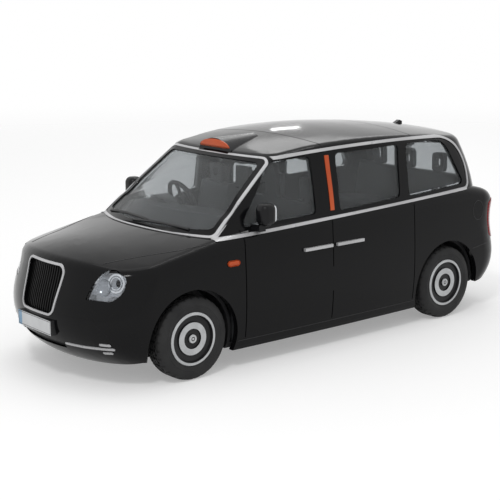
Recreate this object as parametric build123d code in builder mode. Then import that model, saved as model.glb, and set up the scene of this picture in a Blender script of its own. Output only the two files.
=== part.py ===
from build123d import *
from collections import namedtuple
import os

os.makedirs("parts", exist_ok=True)

# A 1:43 die-cast model of an electric taxi cab, in millimetres.
# The front faces -Y, the car's left side is +X and the ground is Z = 0.
# The origin lies on the ground, under the middle of the car.

# Overall sizes
LENGTH = 113.0
WIDTH = 43.6
WHEELBASE = 69.4
NOSE = -LENGTH / 2
TAIL = LENGTH / 2
SIDE = WIDTH / 2

# Shell, glazing and printed trim
WALL = 1.2
GLASS_RECESS = 0.35
GLASS_GAP = 0.04
GLASS_FLANGE = 0.75
GLASS_LAP = 0.7
SIDE_GLASS_X = 12.0
TRIM_PROUD = 0.15
TRIM_WIDTH = 0.55
SEAT_GAP = 0.05
LENS_RECESS = 0.1

# Lower body: height above ground, then how far its side, nose and tail stand in from the overall size
Lower = namedtuple("Lower", "height side_in nose_in tail_in")
LOWER_BODY = (
    Lower(3.9, 1.0, 5.9, 6.2),
    Lower(8.5, 0.2, 1.1, 1.2),
    Lower(12.0, 0.0, 0.3, 0.0),
    Lower(17.0, 0.0, 1.3, 0.8),
    Lower(22.0, 0.2, 2.7, 1.1),
    Lower(30.0, 0.8, 5.1, 2.6),
)
LOWER_TAPER = 1.0
LOWER_NOSE_SWEEP = 7.3
LOWER_NOSE_ROUND = 9.5
LOWER_TAIL_SWEEP = 3.9
LOWER_TAIL_ROUND = 8.0
DECK_EDGE = 2.5
LOWER_CAP_FLOOR = -5.0

# Greenhouse: height, set-back of its side and nose, sweep, taper and corner round of the screen, tail set-back
Upper = namedtuple("Upper", "height side_in nose_in nose_sweep nose_taper pillar_round tail_in")
GREENHOUSE = (
    Upper(20.0, 0.4, 14.7, 6.3, 1.5, 2.4, 5.5),
    Upper(26.0, 0.9, 23.4, 4.9, 1.6, 2.6, 6.3),
    Upper(33.0, 1.9, 33.5, 3.2, 1.9, 3.4, 7.9),
    Upper(40.0, 3.3, 43.6, 1.5, 2.2, 4.4, 11.3),
    Upper(46.0, 4.6, 52.3, 0.6, 2.6, 5.0, 15.3),
)
TAIL_TAPER = 1.7
UPPER_TAIL_SWEEP = 2.2
UPPER_TAIL_ROUND = 7.5
ROOF_EDGE = 2.6
UPPER_CAP_FLOOR = 10.0

# Crowned tops: distance back from the nose, height on the centre line, drop of the arc at CAP_SIDE
Crown = namedtuple("Crown", "back top drop")
CAP_SIDE = SIDE + 2.2
BONNET_AND_WAIST = (
    Crown(-5.5, 15.0, 5.5),
    Crown(0.0, 21.6, 5.5),
    Crown(6.5, 24.3, 4.8),
    Crown(15.5, 25.6, 3.4),
    Crown(24.5, 26.5, 2.0),
    Crown(32.5, 27.2, 1.0),
    Crown(46.5, 28.0, 0.6),
    Crown(66.5, 28.6, 0.6),
    Crown(92.5, 29.2, 0.8),
    Crown(105.5, 28.0, 1.2),
    Crown(111.5, 25.0, 1.6),
    Crown(117.5, 17.0, 2.0),
)
ROOF = (
    Crown(24.5, 33.0, 1.0),
    Crown(42.5, 39.5, 1.0),
    Crown(47.5, 40.8, 1.2),
    Crown(52.5, 41.7, 1.6),
    Crown(58.5, 42.5, 2.0),
    Crown(66.5, 43.1, 2.4),
    Crown(76.5, 43.1, 2.6),
    Crown(86.5, 42.4, 2.8),
    Crown(96.5, 41.2, 3.0),
    Crown(108.5, 38.2, 3.4),
)

# Wheels and axles; the tyre's section is half its outline, as (distance in from its face, radius)
TYRE_R = 8.0
TYRE_WIDTH = 4.8
TYRE_OUTER_X = 20.9
RIM_R = 5.15
TYRE_SECTION = ((0.3, RIM_R), (0.0, 6.4), (0.0, 6.9), (0.35, 7.65), (1.1, TYRE_R))
RIM_FACE_X = 20.6
ROD_END = 19.6
AXLE_R = 0.75
AXLE_CLEARANCE = 0.06
AXLE_Z = TYRE_R
AXLES = {"front": -WHEELBASE / 2, "rear": WHEELBASE / 2}
SIDES = {"left": 1, "right": -1}

# Cutting prisms: how far behind the nose or ahead of the tail each starts, and how far it reaches
PAST = 2.0
GRILLE_START = 8.0
LAMP_START = 11.0
STRIP_START = 12.0
FRONT_REACH = 14.0
STRIP_REACH = 16.0
TAIL_LAMP_START = 14.0
TAIL_LAMP_REACH = 18.0
REAR_SCREEN_START = 18.0
REAR_SCREEN_REACH = 20.0

# Wheel arches and the lift of the bumpers' undersides
ARCH_R = 10.1
ARCH_DROP = 0.6
BUMPER_LIFT_FRONT = 1.6
BUMPER_LIFT_REAR = 2.6
LIFT_START = 6.5
LIFT_END = 8.0
TAIL_LIFT = 1.5 * BUMPER_LIFT_REAR

# Base plate
POST_R = 1.8
FRONT_POST_Y = -46.5
FRONT_POST_TOP = 30.0
REAR_POST_Y = 51.6
REAR_POST_TOP = 26.0
PLATE_BOTTOM = 4.3
PLATE_TOP = 5.4
PLATE_FRONT = -49.0
PLATE_REAR = 54.9
PLATE_KICK = 37.6
REAR_PLATE_TOP = 8.4
REAR_RISE = 1.0
KICK_TOP_STEP = 0.7
PLATE_GAP = 0.1
HOUSING_CLEARANCE = 1.2
HOUSING_WALL = 0.7
HOUSING_INNER_X = 14.6
HOUSING_OUTER_X = 19.4
HOUSING_SLOT = 1.1
SADDLE_X = 11.0
SADDLE_SIZE = (2.4, 4.0, 4.2)
SADDLE_SLOT = 1.2
SCREW_BORE_R = 1.0
SCREW_BORE_LENGTH = 4.5
SCREW_BOSS_R = 2.6
SCREW_BOSS_TOP = 9.3
SCREW_Y = 20.0
TRAY_SIZE = (24.0, 34.0)
TRAY_DROP = 0.3

# Side windows and the silver line round them, as (Y, Z) seen from the side
FRONT_WINDOW = ((-12.9, 38.7), (-3.6, 39.3), (-3.9, 28.0), (-22.6, 27.3))
REAR_WINDOW = ((2.6, 39.4), (20.0, 39.75), (19.8, 28.8), (2.4, 27.9))
QUARTER_WINDOW = ((22.4, 39.8), (35.3, 39.6), (41.3, 29.4), (22.6, 28.7))
WINDOW_ROUND = 0.9
QUARTER_ROUND = 5.5
SIDE_WINDOWS = ((FRONT_WINDOW, WINDOW_ROUND), (REAR_WINDOW, WINDOW_ROUND), (QUARTER_WINDOW, QUARTER_ROUND))
LINE_START = (-28.4, 25.9)
LINE_FOOT = (42.6, 28.35)
LINE_FOOT_ROUND = 1.5
LINE_SHOULDER = (42.5, 39.6)
LINE_SHOULDER_ROUND = 9.4
LINE_ROOF = (12.0, 40.75)
LINE_END = (-12.3, 39.3)
PILLAR_LAP = 0.9
PILLAR_HEAD = 0.1
PILLAR_FORWARD = (4.0, 6.0)

# Windscreen plane: foot and head on the centre line, then outlines as (X, distance up the slope)
SCREEN_FOOT = (0, -33.0, 26.2)
SCREEN_HEAD = (0, -14.0, 39.3)
SCREEN_OPENING = ((17.3, 5.2), (14.6, 23.0))
SCREEN_OPENING_MIDDLE = (1.4, 22.0)
SCREEN_LINE = ((18.8, 3.9), (15.9, 24.5))
SCREEN_LINE_MIDDLE = (0.0, 23.2)
SCREEN_ROUND = 1.4
SCREEN_DEPTH = 8.0

# Rear window as half widths and heights
REAR_SCREEN_BOTTOM = (14.6, 29.8)
REAR_SCREEN_TOP = (13.0, 38.4)
REAR_SCREEN_ROUND = 2.4

# Shut lines pressed into the shell: place along the car and range of heights
GROOVE_WIDTH = 0.22
GROOVE_DEPTH = 0.2
DOOR_LINE_Z = (6.2, 27.0)
ROOF_LINE_Z = (41.0, 45.0)
PANEL_LINES = (
    (-22.6, DOOR_LINE_Z), (-0.15, DOOR_LINE_Z), (23.7, DOOR_LINE_Z),
    (0.0, ROOF_LINE_Z), (25.0, ROOF_LINE_Z),
)

# Grille, plates, lamps, strips and handles
GRILLE_TOP = (6.3, 22.1)
GRILLE_BOTTOM = (5.2, 13.3)
GRILLE_ROUND = 1.3
GRILLE_FRAME = 0.42
GRILLE_BACKING = (1.25, 2.0)
GRILLE_BAR = 0.28
GRILLE_PITCH = 0.72
GRILLE_BARS = 15
NUMBER_PLATE = (12.0, 2.8)
FRONT_PLATE_Z = 10.8
REAR_PLATE_Z = 19.0
REAR_PLATE_OUT = 55.9
PLATE_DEPTH = 3.0
HEADLAMP_TIP = (12.5, 17.0)
HEADLAMP_ARCS = (
    ((13.4, 20.0), (14.9, 22.2)), ((16.1, 22.5), (17.3, 22.0)), ((18.35, 21.25), (18.5, 20.0)),
    ((18.5, 18.9), (17.9, 17.8)), ((17.25, 17.15), (16.4, 17.0)),
)
LENS_THICKNESS = 0.5
LAMP_BOWLS = (((15.6, -51.6, 19.6), 2.3), ((17.9, -49.4, 20.4), 1.5))
TAIL_LAMP_X = (17.4, 20.3)
TAIL_LAMP_Z = (16.0, 25.0)
TAIL_LAMP_DEPTH = 0.8
TAIL_LAMP_ROUND = 1.2
STRIP_X = (7.7, 17.4)
STRIP_Z = 8.1
STRIP_HEIGHT = 0.5
CLIP_X = 16.2
CLIP_SIZE = (2.1, 2.1)
INTAKE_HALF = 7.0
INTAKE_Z = (6.8, 8.2)
INTAKE_ROUND = 0.5
SIDE_ROOT = 1.5
HANDLE_Z = 21.45
HANDLE_LENGTH = 7.4
HANDLE_HEIGHT = 0.6
HANDLE_OFFSET = 4.35
HANDLE_OUT = 22.2
REPEATER_Y = -25.5
REPEATER_Z = 21.25
REPEATER_SIZE = (2.6, 0.9)
REPEATER_OUT = 21.6
STRIPE_Y = 0.35
STRIPE_Z = (28.3, 39.2)
STRIPE_WIDTH = 1.0

# Roof sign, aerial, mirrors and wipers
SIGN_Y = -13.3
SIGN_TAIL_Y = -3.2
SIGN_HALF = 5.2
SIGN_TAIL_HALF = 2.2
SIGN_BASE_Z = 38.4
SIGN_TOP_Z = 42.1
SIGN_TAIL_TOP_Z = 42.3
SIGN_TAIL_EDGE_Z = 41.5
SIGN_EDGE_Z = 39.9
SIGN_RIM = 0.3
SIGN_LENS = 0.6
FIN_Y = 39.4
FIN_LENGTH = 3.2
FIN_WIDTH = 0.9
FIN_TOP_Z = 42.0
FIN_ROOT = 2.2
FIN_NOSE = 1.1
FIN_SLOPE = 0.3
MIRROR = (22.3, -18.4, 29.9)
MIRROR_SIZE = (3.4, 3.4, 4.4)
MIRROR_ROUND = 1.3
MIRROR_RIM = 0.5
MIRROR_GLASS = 0.3
MIRROR_ARM = (1.6, 1.3)
MIRROR_ARM_Z = 27.3
MIRROR_ARM_ROOT = 3.0
WIPER_THICKNESS = 0.4
WIPER_WIDTH = 0.45
WIPERS = (((-15.0, 3.6), (1.0, 2.3)), ((-3.0, 1.5), (13.0, 3.2)))

# Cabin
CABIN_WALL = 0.8
FLOOR_THICKNESS = 1.0
FLOOR_HALF = 19.3
FLOOR_FRONT = -24.2
FLOOR_REAR = 24.6
BOSS_CLEARANCE = 0.2
SHELF_Z = 18.6
SHELF_THICKNESS = 0.6
SHELF_HALF = 18.5
SHELF_REAR = 46.5
BULKHEAD_Z = 22.0
BENCH_HALF = 15.6
BENCH_GROOVES_X = (-5.2, 5.2)
BENCH_GROOVE = (0.35, 0.4)
BENCH_FRONT = 32.6
BENCH_BACK = 45.0
BENCH_TOP_Z = 30.6
CUSHION_Z = 23.5
CUSHION_DIP = 0.6
CUSHION_ROUND = 1.2
BACKREST_FOOT = 3.6
BACKREST_TOP = 2.0
BACKREST_RAKE = 0.4
BACKREST_ROUND = 0.7
HEADREST = (3.4, 1.3, 4.4)
HEADREST_HOLE = (1.5, 1.9)
HEADREST_ROUND = 0.9
REAR_HEADRESTS_X = (-9.4, 0.0, 9.4)
REAR_HEADREST_Y = 43.9
DRIVER_X = -8.8
DRIVER_HALF = 4.8
DRIVER_FRONT = -17.5
DRIVER_CUSHION_Z = (14.5, 18.4)
DRIVER_TOP_Z = 31.0
DRIVER_HEADREST_Y = -5.6
DRIVER_HEADREST = (4.4, 1.3, 4.8)
DRIVER_CUSHION = (9.2, 0.8)
DRIVER_BACK_TOP = (10.8, 13.2)
DRIVER_BACK_FOOT = 12.6
DRIVER_ROUND = 0.8
PEDESTAL_Y = (2.0, 11.0)
PEDESTAL_HALF = 3.4
PARTITION_Y = 1.4
PARTITION_THICKNESS = 1.0
PARTITION_WINDOW = (1.6, 13.4, 28.2, 37.2)
PARTITION_WINDOW_ROUND = 1.2
PARTITION_CROWN = 40.5
PARTITION_EDGE = ((14.6, 38.5), (16.8, 36.0), (18.4, 27.0), (18.8, 6.4))
TIP_UP_X = (-10.4, 0.0, 10.4)
TIP_UP_PAD = (8.2, 1.7, 13.0)
TIP_UP_PAD_Z = 20.5
TIP_UP_HEAD = (4.4, 1.2, 4.6)
TIP_UP_HEAD_Z = 31.0
TIP_UP_LINK = (1.6, 0.8)
DASH_HALF = 16.2
DASH_REAR = -18.8
DASH_FOOT = (-29.6, 4.6)
DASH_TOP = (-25.8, 4.4)
DASH_FOOT_Z = 26.0
DASH_TOP_Z = 28.8
HOOD_RISE = 1.3
HOOD_HALF = 4.6
HOOD_FOOT = 0.5
HOOD_DEPTH = 3.4
WHEEL_RING_R = 3.9
WHEEL_RING_SECTION = 0.42
WHEEL_RING_AT = (-8.8, -15.0, 28.4)
WHEEL_RING_LEAN = 28.0
COLUMN_R = 0.7
COLUMN_LENGTH = 6.0
HUB = (1.1, 0.8)
SPOKE = (0.7, 0.4)
SPOKES = 3


def plan_face(
    height, half, nose_y, nose_sweep, nose_taper, nose_round, tail_y, tail_sweep, tail_taper, tail_round
):
    """Plan outline of the car at one height, with bowed nose, sides and tail."""
    front, rear = half - nose_taper, half - tail_taper
    front_y, rear_y = nose_y + nose_sweep, tail_y - tail_sweep
    with BuildSketch(Plane.XY.offset(height)) as sketch:
        with BuildLine():
            ThreePointArc((-front, front_y), (0, nose_y), (front, front_y))
            ThreePointArc((front, front_y), (half, 0), (rear, rear_y))
            ThreePointArc((rear, rear_y), (0, tail_y), (-rear, rear_y))
            ThreePointArc((-rear, rear_y), (-half, 0), (-front, front_y))
        make_face()
        fillet(sketch.vertices().group_by(Axis.Y)[0], nose_round)
        fillet(sketch.vertices().group_by(Axis.Y)[-1], tail_round)
    return sketch.sketch


def crowned_cap(stations, floor, inset):
    """Block under the crowned top, lofted along the car."""
    with BuildPart() as cap:
        for station in stations:
            with BuildSketch(Plane.XZ.offset(-(NOSE + station.back))):
                edge = station.top - station.drop - inset
                with BuildLine():
                    ThreePointArc((-CAP_SIDE, edge), (0, station.top - inset), (CAP_SIDE, edge))
                    Polyline((CAP_SIDE, edge), (CAP_SIDE, floor), (-CAP_SIDE, floor), (-CAP_SIDE, edge))
                make_face()
        loft()
    return cap.part


def lower_form(inset=0.0, rounded=True):
    """Solid inside the lower body's surface, moved inwards by inset."""
    cap = crowned_cap(BONNET_AND_WAIST, LOWER_CAP_FLOOR, inset)
    with BuildPart() as form:
        for row in LOWER_BODY:
            add(plan_face(
                row.height, SIDE - row.side_in - inset,
                NOSE + row.nose_in + inset, LOWER_NOSE_SWEEP, LOWER_TAPER, LOWER_NOSE_ROUND - inset,
                TAIL - row.tail_in - inset, LOWER_TAIL_SWEEP, LOWER_TAPER, LOWER_TAIL_ROUND - inset,
            ))
        loft()
        add(cap, mode=Mode.INTERSECT)
        if rounded:
            fillet(form.faces().sort_by(Axis.Z)[-1].edges(), DECK_EDGE - inset)
    return form.part


def upper_form(inset=0.0, rounded=True):
    """Solid inside the greenhouse's surface, moved inwards by inset."""
    cap = crowned_cap(ROOF, UPPER_CAP_FLOOR, inset)
    with BuildPart() as form:
        for row in GREENHOUSE:
            add(plan_face(
                row.height, SIDE - row.side_in - inset,
                NOSE + row.nose_in + inset, row.nose_sweep, row.nose_taper, row.pillar_round - inset,
                TAIL - row.tail_in - inset, UPPER_TAIL_SWEEP, TAIL_TAPER, UPPER_TAIL_ROUND - inset,
            ))
        loft()
        add(cap, mode=Mode.INTERSECT)
        if rounded:
            fillet(form.faces().sort_by(Axis.Z)[-1].edges(), ROOF_EDGE - inset)
    return form.part


def body_form(inset=0.0, rounded=True):
    """Whole outer form of the car, moved inwards by inset."""
    upper = upper_form(inset, rounded)
    lower = lower_form(inset, rounded)
    with BuildPart() as form:
        add(lower)
        add(upper)
    return form.part


def prism(sketch, depth, both=True):
    """Solid made by pushing a sketch along its normal."""
    with BuildPart() as block:
        extrude(sketch, amount=depth, both=both)
    return block.part


def window_face(outline, rear_round, grow=0.0):
    """One side window, seen from the side, with a larger round at its upper rear corner."""
    with BuildSketch(Plane.YZ) as sketch:
        with BuildLine():
            Polyline(*outline, close=True)
        make_face()
        fillet(sketch.vertices().sort_by_distance(outline[1])[1:], WINDOW_ROUND)
        fillet(sketch.vertices().sort_by_distance(outline[1])[0], rear_round)
        offset(amount=grow)
    return sketch.sketch


def side_openings(grow=0.0, both=True):
    """Prisms of the three side windows, right through the car or out through its left side."""
    panes = [
        prism(window_face(outline, rear_round, grow), SIDE + PAST, both) for outline, rear_round in SIDE_WINDOWS
    ]
    with BuildPart() as block:
        add(panes)
    return block.part


def left_side_openings(grow=0.0):
    return side_openings(grow, both=False)


def side_line_face(grow):
    """Area inside the silver line, closed along the windscreen pillar."""
    with BuildSketch(Plane.YZ) as sketch:
        with BuildLine():
            Polyline(LINE_END, LINE_START, LINE_FOOT, LINE_SHOULDER)
            ThreePointArc(LINE_SHOULDER, LINE_ROOF, LINE_END)
        make_face()
        fillet(sketch.vertices().sort_by_distance(LINE_SHOULDER)[0], LINE_SHOULDER_ROUND)
        fillet(sketch.vertices().sort_by_distance(LINE_FOOT)[0], LINE_FOOT_ROUND)
        offset(amount=grow)
    return sketch.sketch


def side_line(width):
    """Band along the silver line, open at the windscreen pillar, right through the car."""
    with BuildSketch(Plane.YZ) as pillar:
        with BuildLine():
            Polyline(
                (LINE_START[0] + PILLAR_LAP, LINE_START[1] + width),
                (LINE_END[0] + PILLAR_LAP, LINE_END[1] - width), (LINE_END[0] + PILLAR_HEAD, LINE_END[1] + PAST),
                (LINE_END[0] - PILLAR_FORWARD[1], LINE_END[1] + PAST),
                (LINE_START[0] - PILLAR_FORWARD[0], LINE_START[1] + width), close=True,
            )
        make_face()
    outside = prism(side_line_face(width / 2), SIDE + PAST)
    inside = prism(side_line_face(-width / 2), SIDE + PAST)
    along_pillar = prism(pillar.sketch, SIDE + PAST)
    with BuildPart() as block:
        add(outside)
        add([inside, along_pillar], mode=Mode.SUBTRACT)
    return block.part


SCREEN_SLOPE = Vector(*SCREEN_HEAD) - Vector(*SCREEN_FOOT)
SCREEN_PLANE = Plane(origin=SCREEN_FOOT, x_dir=(1, 0, 0), z_dir=Vector(1, 0, 0).cross(SCREEN_SLOPE))


def screen_face(corners, middle, grow=0.0):
    """Outline on the windscreen's plane, with bowed sill and header."""
    (low_x, low_s), (top_x, top_s) = corners
    with BuildSketch(SCREEN_PLANE) as sketch:
        with BuildLine():
            ThreePointArc((-low_x, low_s), (0, middle[0]), (low_x, low_s))
            Line((low_x, low_s), (top_x, top_s))
            ThreePointArc((top_x, top_s), (0, middle[1]), (-top_x, top_s))
            Line((-top_x, top_s), (-low_x, low_s))
        make_face()
        fillet(sketch.vertices(), SCREEN_ROUND)
        offset(amount=grow)
    return sketch.sketch


def screen_opening(grow=0.0):
    return prism(screen_face(SCREEN_OPENING, SCREEN_OPENING_MIDDLE, grow), SCREEN_DEPTH)


def rear_opening(grow=0.0):
    """Prism of the rear window, from inside the tailgate outwards."""
    with BuildSketch(Plane.XZ.offset(-(TAIL - REAR_SCREEN_START))) as sketch:
        with BuildLine():
            Polyline(
                (-REAR_SCREEN_BOTTOM[0], REAR_SCREEN_BOTTOM[1]), (REAR_SCREEN_BOTTOM[0], REAR_SCREEN_BOTTOM[1]),
                (REAR_SCREEN_TOP[0], REAR_SCREEN_TOP[1]), (-REAR_SCREEN_TOP[0], REAR_SCREEN_TOP[1]), close=True,
            )
        make_face()
        fillet(sketch.vertices(), REAR_SCREEN_ROUND)
        offset(amount=grow)
    return prism(sketch.sketch, -REAR_SCREEN_REACH, both=False)


def grille_face(grow=0.0):
    with BuildSketch(Plane.XZ.offset(-NOSE - GRILLE_START)) as sketch:
        with BuildLine():
            Polyline(
                (-GRILLE_BOTTOM[0], GRILLE_BOTTOM[1]), (GRILLE_BOTTOM[0], GRILLE_BOTTOM[1]),
                (GRILLE_TOP[0], GRILLE_TOP[1]), (-GRILLE_TOP[0], GRILLE_TOP[1]), close=True,
            )
        make_face()
        fillet(sketch.vertices(), GRILLE_ROUND)
        offset(amount=grow)
    return sketch.sketch


def headlamp_face(side, grow=0.0):
    """Drop-shaped lamp outline with its point inwards and down, seen from the front."""
    tip = (side * HEADLAMP_TIP[0], HEADLAMP_TIP[1])
    start = tip
    with BuildSketch(Plane.XZ.offset(-NOSE - LAMP_START)) as sketch:
        with BuildLine():
            for (through_x, through_z), (end_x, end_z) in HEADLAMP_ARCS:
                end = (side * end_x, end_z)
                ThreePointArc(start, (side * through_x, through_z), end)
                start = end
            Line(start, tip)
        make_face()
        offset(amount=grow)
    return sketch.sketch


def tail_lamp_face(side, grow=0.0):
    with BuildSketch(Plane.XZ.offset(-TAIL + TAIL_LAMP_START)) as sketch:
        with Locations((side * sum(TAIL_LAMP_X) / 2, sum(TAIL_LAMP_Z) / 2)):
            RectangleRounded(
                TAIL_LAMP_X[1] - TAIL_LAMP_X[0] + 2 * grow, TAIL_LAMP_Z[1] - TAIL_LAMP_Z[0] + 2 * grow,
                TAIL_LAMP_ROUND,
            )
    return sketch.sketch


def front_prism(sketch):
    """Prism from inside the nose forwards, out through the body's front."""
    return prism(sketch, FRONT_REACH, both=False)


def rear_prism(sketch):
    return prism(sketch, -TAIL_LAMP_REACH, both=False)


def intake_face(grow=0.0):
    with BuildSketch(Plane.XZ.offset(-NOSE - GRILLE_START)) as sketch:
        with Locations((0, sum(INTAKE_Z) / 2)):
            RectangleRounded(2 * (INTAKE_HALF + grow), INTAKE_Z[1] - INTAKE_Z[0] + 2 * grow, INTAKE_ROUND)
    return sketch.sketch


# Forms shared by the pieces
OUTER = body_form()
CAVITY = body_form(WALL, rounded=False)
PROUD = body_form(-TRIM_PROUD)
GLASS_FACE = upper_form(GLASS_RECESS)
GLASS_SEAT = upper_form(WALL + GLASS_GAP, rounded=False)
GLASS_BACK = upper_form(WALL + GLASS_FLANGE, rounded=False)
LAMP_FACE = lower_form(LENS_RECESS)
LAMP_BACK = lower_form(LENS_RECESS + LENS_THICKNESS)
TAIL_LAMP_BACK = lower_form(TAIL_LAMP_DEPTH)
GROOVE_FLOOR = body_form(GROOVE_DEPTH)

with BuildPart() as proud_skin:
    add(PROUD)
    add(OUTER, mode=Mode.SUBTRACT)


def save(part, name):
    """Label a finished piece and write it to its own file."""
    part.label = name
    export_step(part, f"parts/{name}.step")


def common(*parts):
    """Solid that all the parts share."""
    with BuildPart() as block:
        add(parts[0])
        for part in parts[1:]:
            add(part, mode=Mode.INTERSECT)
    return block.part


def cut_away(part, *tools):
    """Part with the tools' volumes removed."""
    with BuildPart() as block:
        add(part)
        for tool in tools:
            add(tool, mode=Mode.SUBTRACT)
    return block.part


def flank(side, inner_x):
    """Everything on one side of the car beyond inner_x."""
    with BuildPart() as block:
        with BuildSketch(Plane.YZ.offset(side * inner_x)):
            Rectangle(2 * LENGTH, 4 * SIDE)
        extrude(amount=side * 2 * SIDE)
    return block.part


def slab(x_range, y_range, z_range):
    """Plain block between two corners."""
    with BuildPart() as block:
        with Locations(tuple(sum(ends) / 2 for ends in (x_range, y_range, z_range))):
            Box(*[ends[1] - ends[0] for ends in (x_range, y_range, z_range)])
    return block.part


def save_pair(part, name):
    """Write a left-hand piece and its mirror image on the right."""
    with BuildPart() as right:
        mirror(part, about=Plane.YZ)
    save(part, f"{name}_left")
    save(right.part, f"{name}_right")


def arches(radius, centre_z, inner_x, outer_x):
    """Cylinders over the four wheels."""
    with BuildPart() as block:
        for y in AXLES.values():
            for side in SIDES.values():
                with BuildSketch(Plane.YZ.offset(side * inner_x)):
                    with Locations((y, centre_z)):
                        Circle(radius)
                extrude(amount=side * (outer_x - inner_x))
    return block.part


def bumper_lift():
    """Wedges that lift the underside of both bumpers."""
    bottom = LOWER_BODY[0].height
    with BuildPart() as block:
        with BuildSketch(Plane.YZ.offset(-SIDE)):
            with BuildLine():
                Polyline(
                    (NOSE + LIFT_START, bottom - PAST), (NOSE + LIFT_START, bottom),
                    (AXLES["front"] - LIFT_END, bottom + BUMPER_LIFT_FRONT), (AXLES["front"], bottom - PAST),
                    close=True,
                )
            make_face()
            with BuildLine():
                Polyline(
                    (AXLES["rear"], bottom - PAST), (AXLES["rear"] + LIFT_END, bottom + BUMPER_LIFT_REAR),
                    (TAIL + PAST, bottom + TAIL_LIFT), (TAIL + PAST, bottom - PAST), close=True,
                )
            make_face()
        extrude(amount=WIDTH)
    return block.part


WEDGES = bumper_lift()


def post(y, foot_z, top_z):
    """Round post under the shell that the base plate is fixed to."""
    with BuildPart() as block:
        with BuildSketch(Plane.XY.offset(foot_z)):
            with Locations((0, y)):
                Circle(POST_R)
        extrude(amount=top_z - foot_z)
    return block.part


# Body shell
SHELL_CUTS = [
    arches(ARCH_R, AXLE_Z - ARCH_DROP, SADDLE_X, SIDE + PAST), WEDGES,
    side_openings(), screen_opening(), rear_opening(),
    front_prism(grille_face()), front_prism(intake_face()),
]
SHELL_CUTS += [front_prism(headlamp_face(side)) for side in SIDES.values()]
TAIL_POCKETS = [
    cut_away(common(rear_prism(tail_lamp_face(side)), PROUD), TAIL_LAMP_BACK) for side in SIDES.values()
]
POSTS = [
    common(post(FRONT_POST_Y, PLATE_TOP, FRONT_POST_TOP), OUTER),
    common(post(REAR_POST_Y, REAR_PLATE_TOP, REAR_POST_TOP), OUTER),
]
SHUT_LINES = [
    slab((-SIDE, SIDE), (y - GROOVE_WIDTH / 2, y + GROOVE_WIDTH / 2), z_range) for y, z_range in PANEL_LINES
]
GROOVES = [cut_away(common(line, OUTER), GROOVE_FLOOR) for line in SHUT_LINES]
with BuildPart() as body_shell:
    add(cut_away(OUTER, CAVITY))
    add(POSTS)
    add(SHELL_CUTS + TAIL_POCKETS + GROOVES, mode=Mode.SUBTRACT)
save(body_shell.part, "body_shell")

# Silver lines
side_band = common(side_line(TRIM_WIDTH), flank(SIDES["left"], 0))
screen_band = cut_away(
    prism(screen_face(SCREEN_LINE, SCREEN_LINE_MIDDLE, TRIM_WIDTH / 2), SCREEN_DEPTH),
    prism(screen_face(SCREEN_LINE, SCREEN_LINE_MIDDLE, -TRIM_WIDTH / 2), SCREEN_DEPTH),
)
save_pair(cut_away(common(proud_skin.part, side_band), screen_band), "side_trim")

# Glazing, a plug in each opening on a flange behind the wall
plug_skin = cut_away(GLASS_FACE, GLASS_BACK)
flange_skin = cut_away(GLASS_SEAT, GLASS_BACK)


def glazing(opening):
    """Clear moulding for one opening, given as a function of how far it is grown."""
    plug = common(plug_skin, opening(-GLASS_GAP))
    flange = common(flange_skin, opening(GLASS_LAP))
    with BuildPart() as glass:
        add(plug)
        add(flange)
    return glass.part


windscreen = glazing(screen_opening)
save(windscreen, "windscreen")
side_glazing = cut_away(glazing(left_side_openings), screen_opening(GLASS_LAP + PLATE_GAP))
save_pair(common(side_glazing, flank(SIDES["left"], SIDE_GLASS_X)), "side_glazing")
save(glazing(rear_opening), "rear_window")

# Grille, intake and number plates
grille_frame = common(
    proud_skin.part, cut_away(front_prism(grille_face(GRILLE_FRAME)), front_prism(grille_face()))
)
save(grille_frame, "grille_frame")

grille_floor = lower_form(GRILLE_BACKING[0], rounded=False)
grille_back = lower_form(GRILLE_BACKING[1], rounded=False)
with BuildPart() as grille_gaps:
    with BuildSketch(Plane.XZ.offset(-NOSE - GRILLE_START)):
        with Locations((0, (GRILLE_TOP[1] + GRILLE_BOTTOM[1]) / 2)):
            with GridLocations(GRILLE_PITCH, 0, GRILLE_BARS + 1, 1):
                Rectangle(GRILLE_PITCH - GRILLE_BAR, GRILLE_TOP[1] - GRILLE_BOTTOM[1] + PAST)
    extrude(amount=FRONT_REACH)
    add(grille_floor, mode=Mode.SUBTRACT)
grille_insert = cut_away(common(front_prism(grille_face(-SEAT_GAP)), LAMP_BACK), grille_back, grille_gaps.part)
save(grille_insert, "grille_insert")

lower_intake = cut_away(common(front_prism(intake_face(-SEAT_GAP)), LAMP_BACK), grille_floor)
save(lower_intake, "lower_intake")

plate_half, plate_rise = NUMBER_PLATE[0] / 2, NUMBER_PLATE[1] / 2
PLATES = {
    "front_plate": ((NOSE, NOSE + PLATE_DEPTH), FRONT_PLATE_Z),
    "rear_plate": ((REAR_PLATE_OUT - PLATE_DEPTH, REAR_PLATE_OUT), REAR_PLATE_Z),
}
for name, (y_range, z) in PLATES.items():
    save(cut_away(slab((-plate_half, plate_half), y_range, (z - plate_rise, z + plate_rise)), OUTER), name)

# Lamps
lamp_prism = front_prism(headlamp_face(SIDES["left"], -GLASS_GAP))
save_pair(cut_away(common(lamp_prism, LAMP_FACE), LAMP_BACK), "headlamp_lens")
with BuildPart() as bowls:
    for centre, radius in LAMP_BOWLS:
        with Locations(centre):
            Sphere(radius)
save_pair(cut_away(common(lamp_prism, LAMP_BACK), bowls.part), "headlamp_reflector")
tail_prism = rear_prism(tail_lamp_face(SIDES["left"], -SEAT_GAP))
save_pair(cut_away(common(tail_prism, PROUD), TAIL_LAMP_BACK), "tail_lamp")


def on_both_sides(x_range, y_range, z_range):
    """Like blocks on the car's two sides, cut back to its surface."""
    blocks = [slab(sorted((side * x_range[0], side * x_range[1])), y_range, z_range) for side in SIDES.values()]
    return [cut_away(block, OUTER) for block in blocks]


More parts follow.
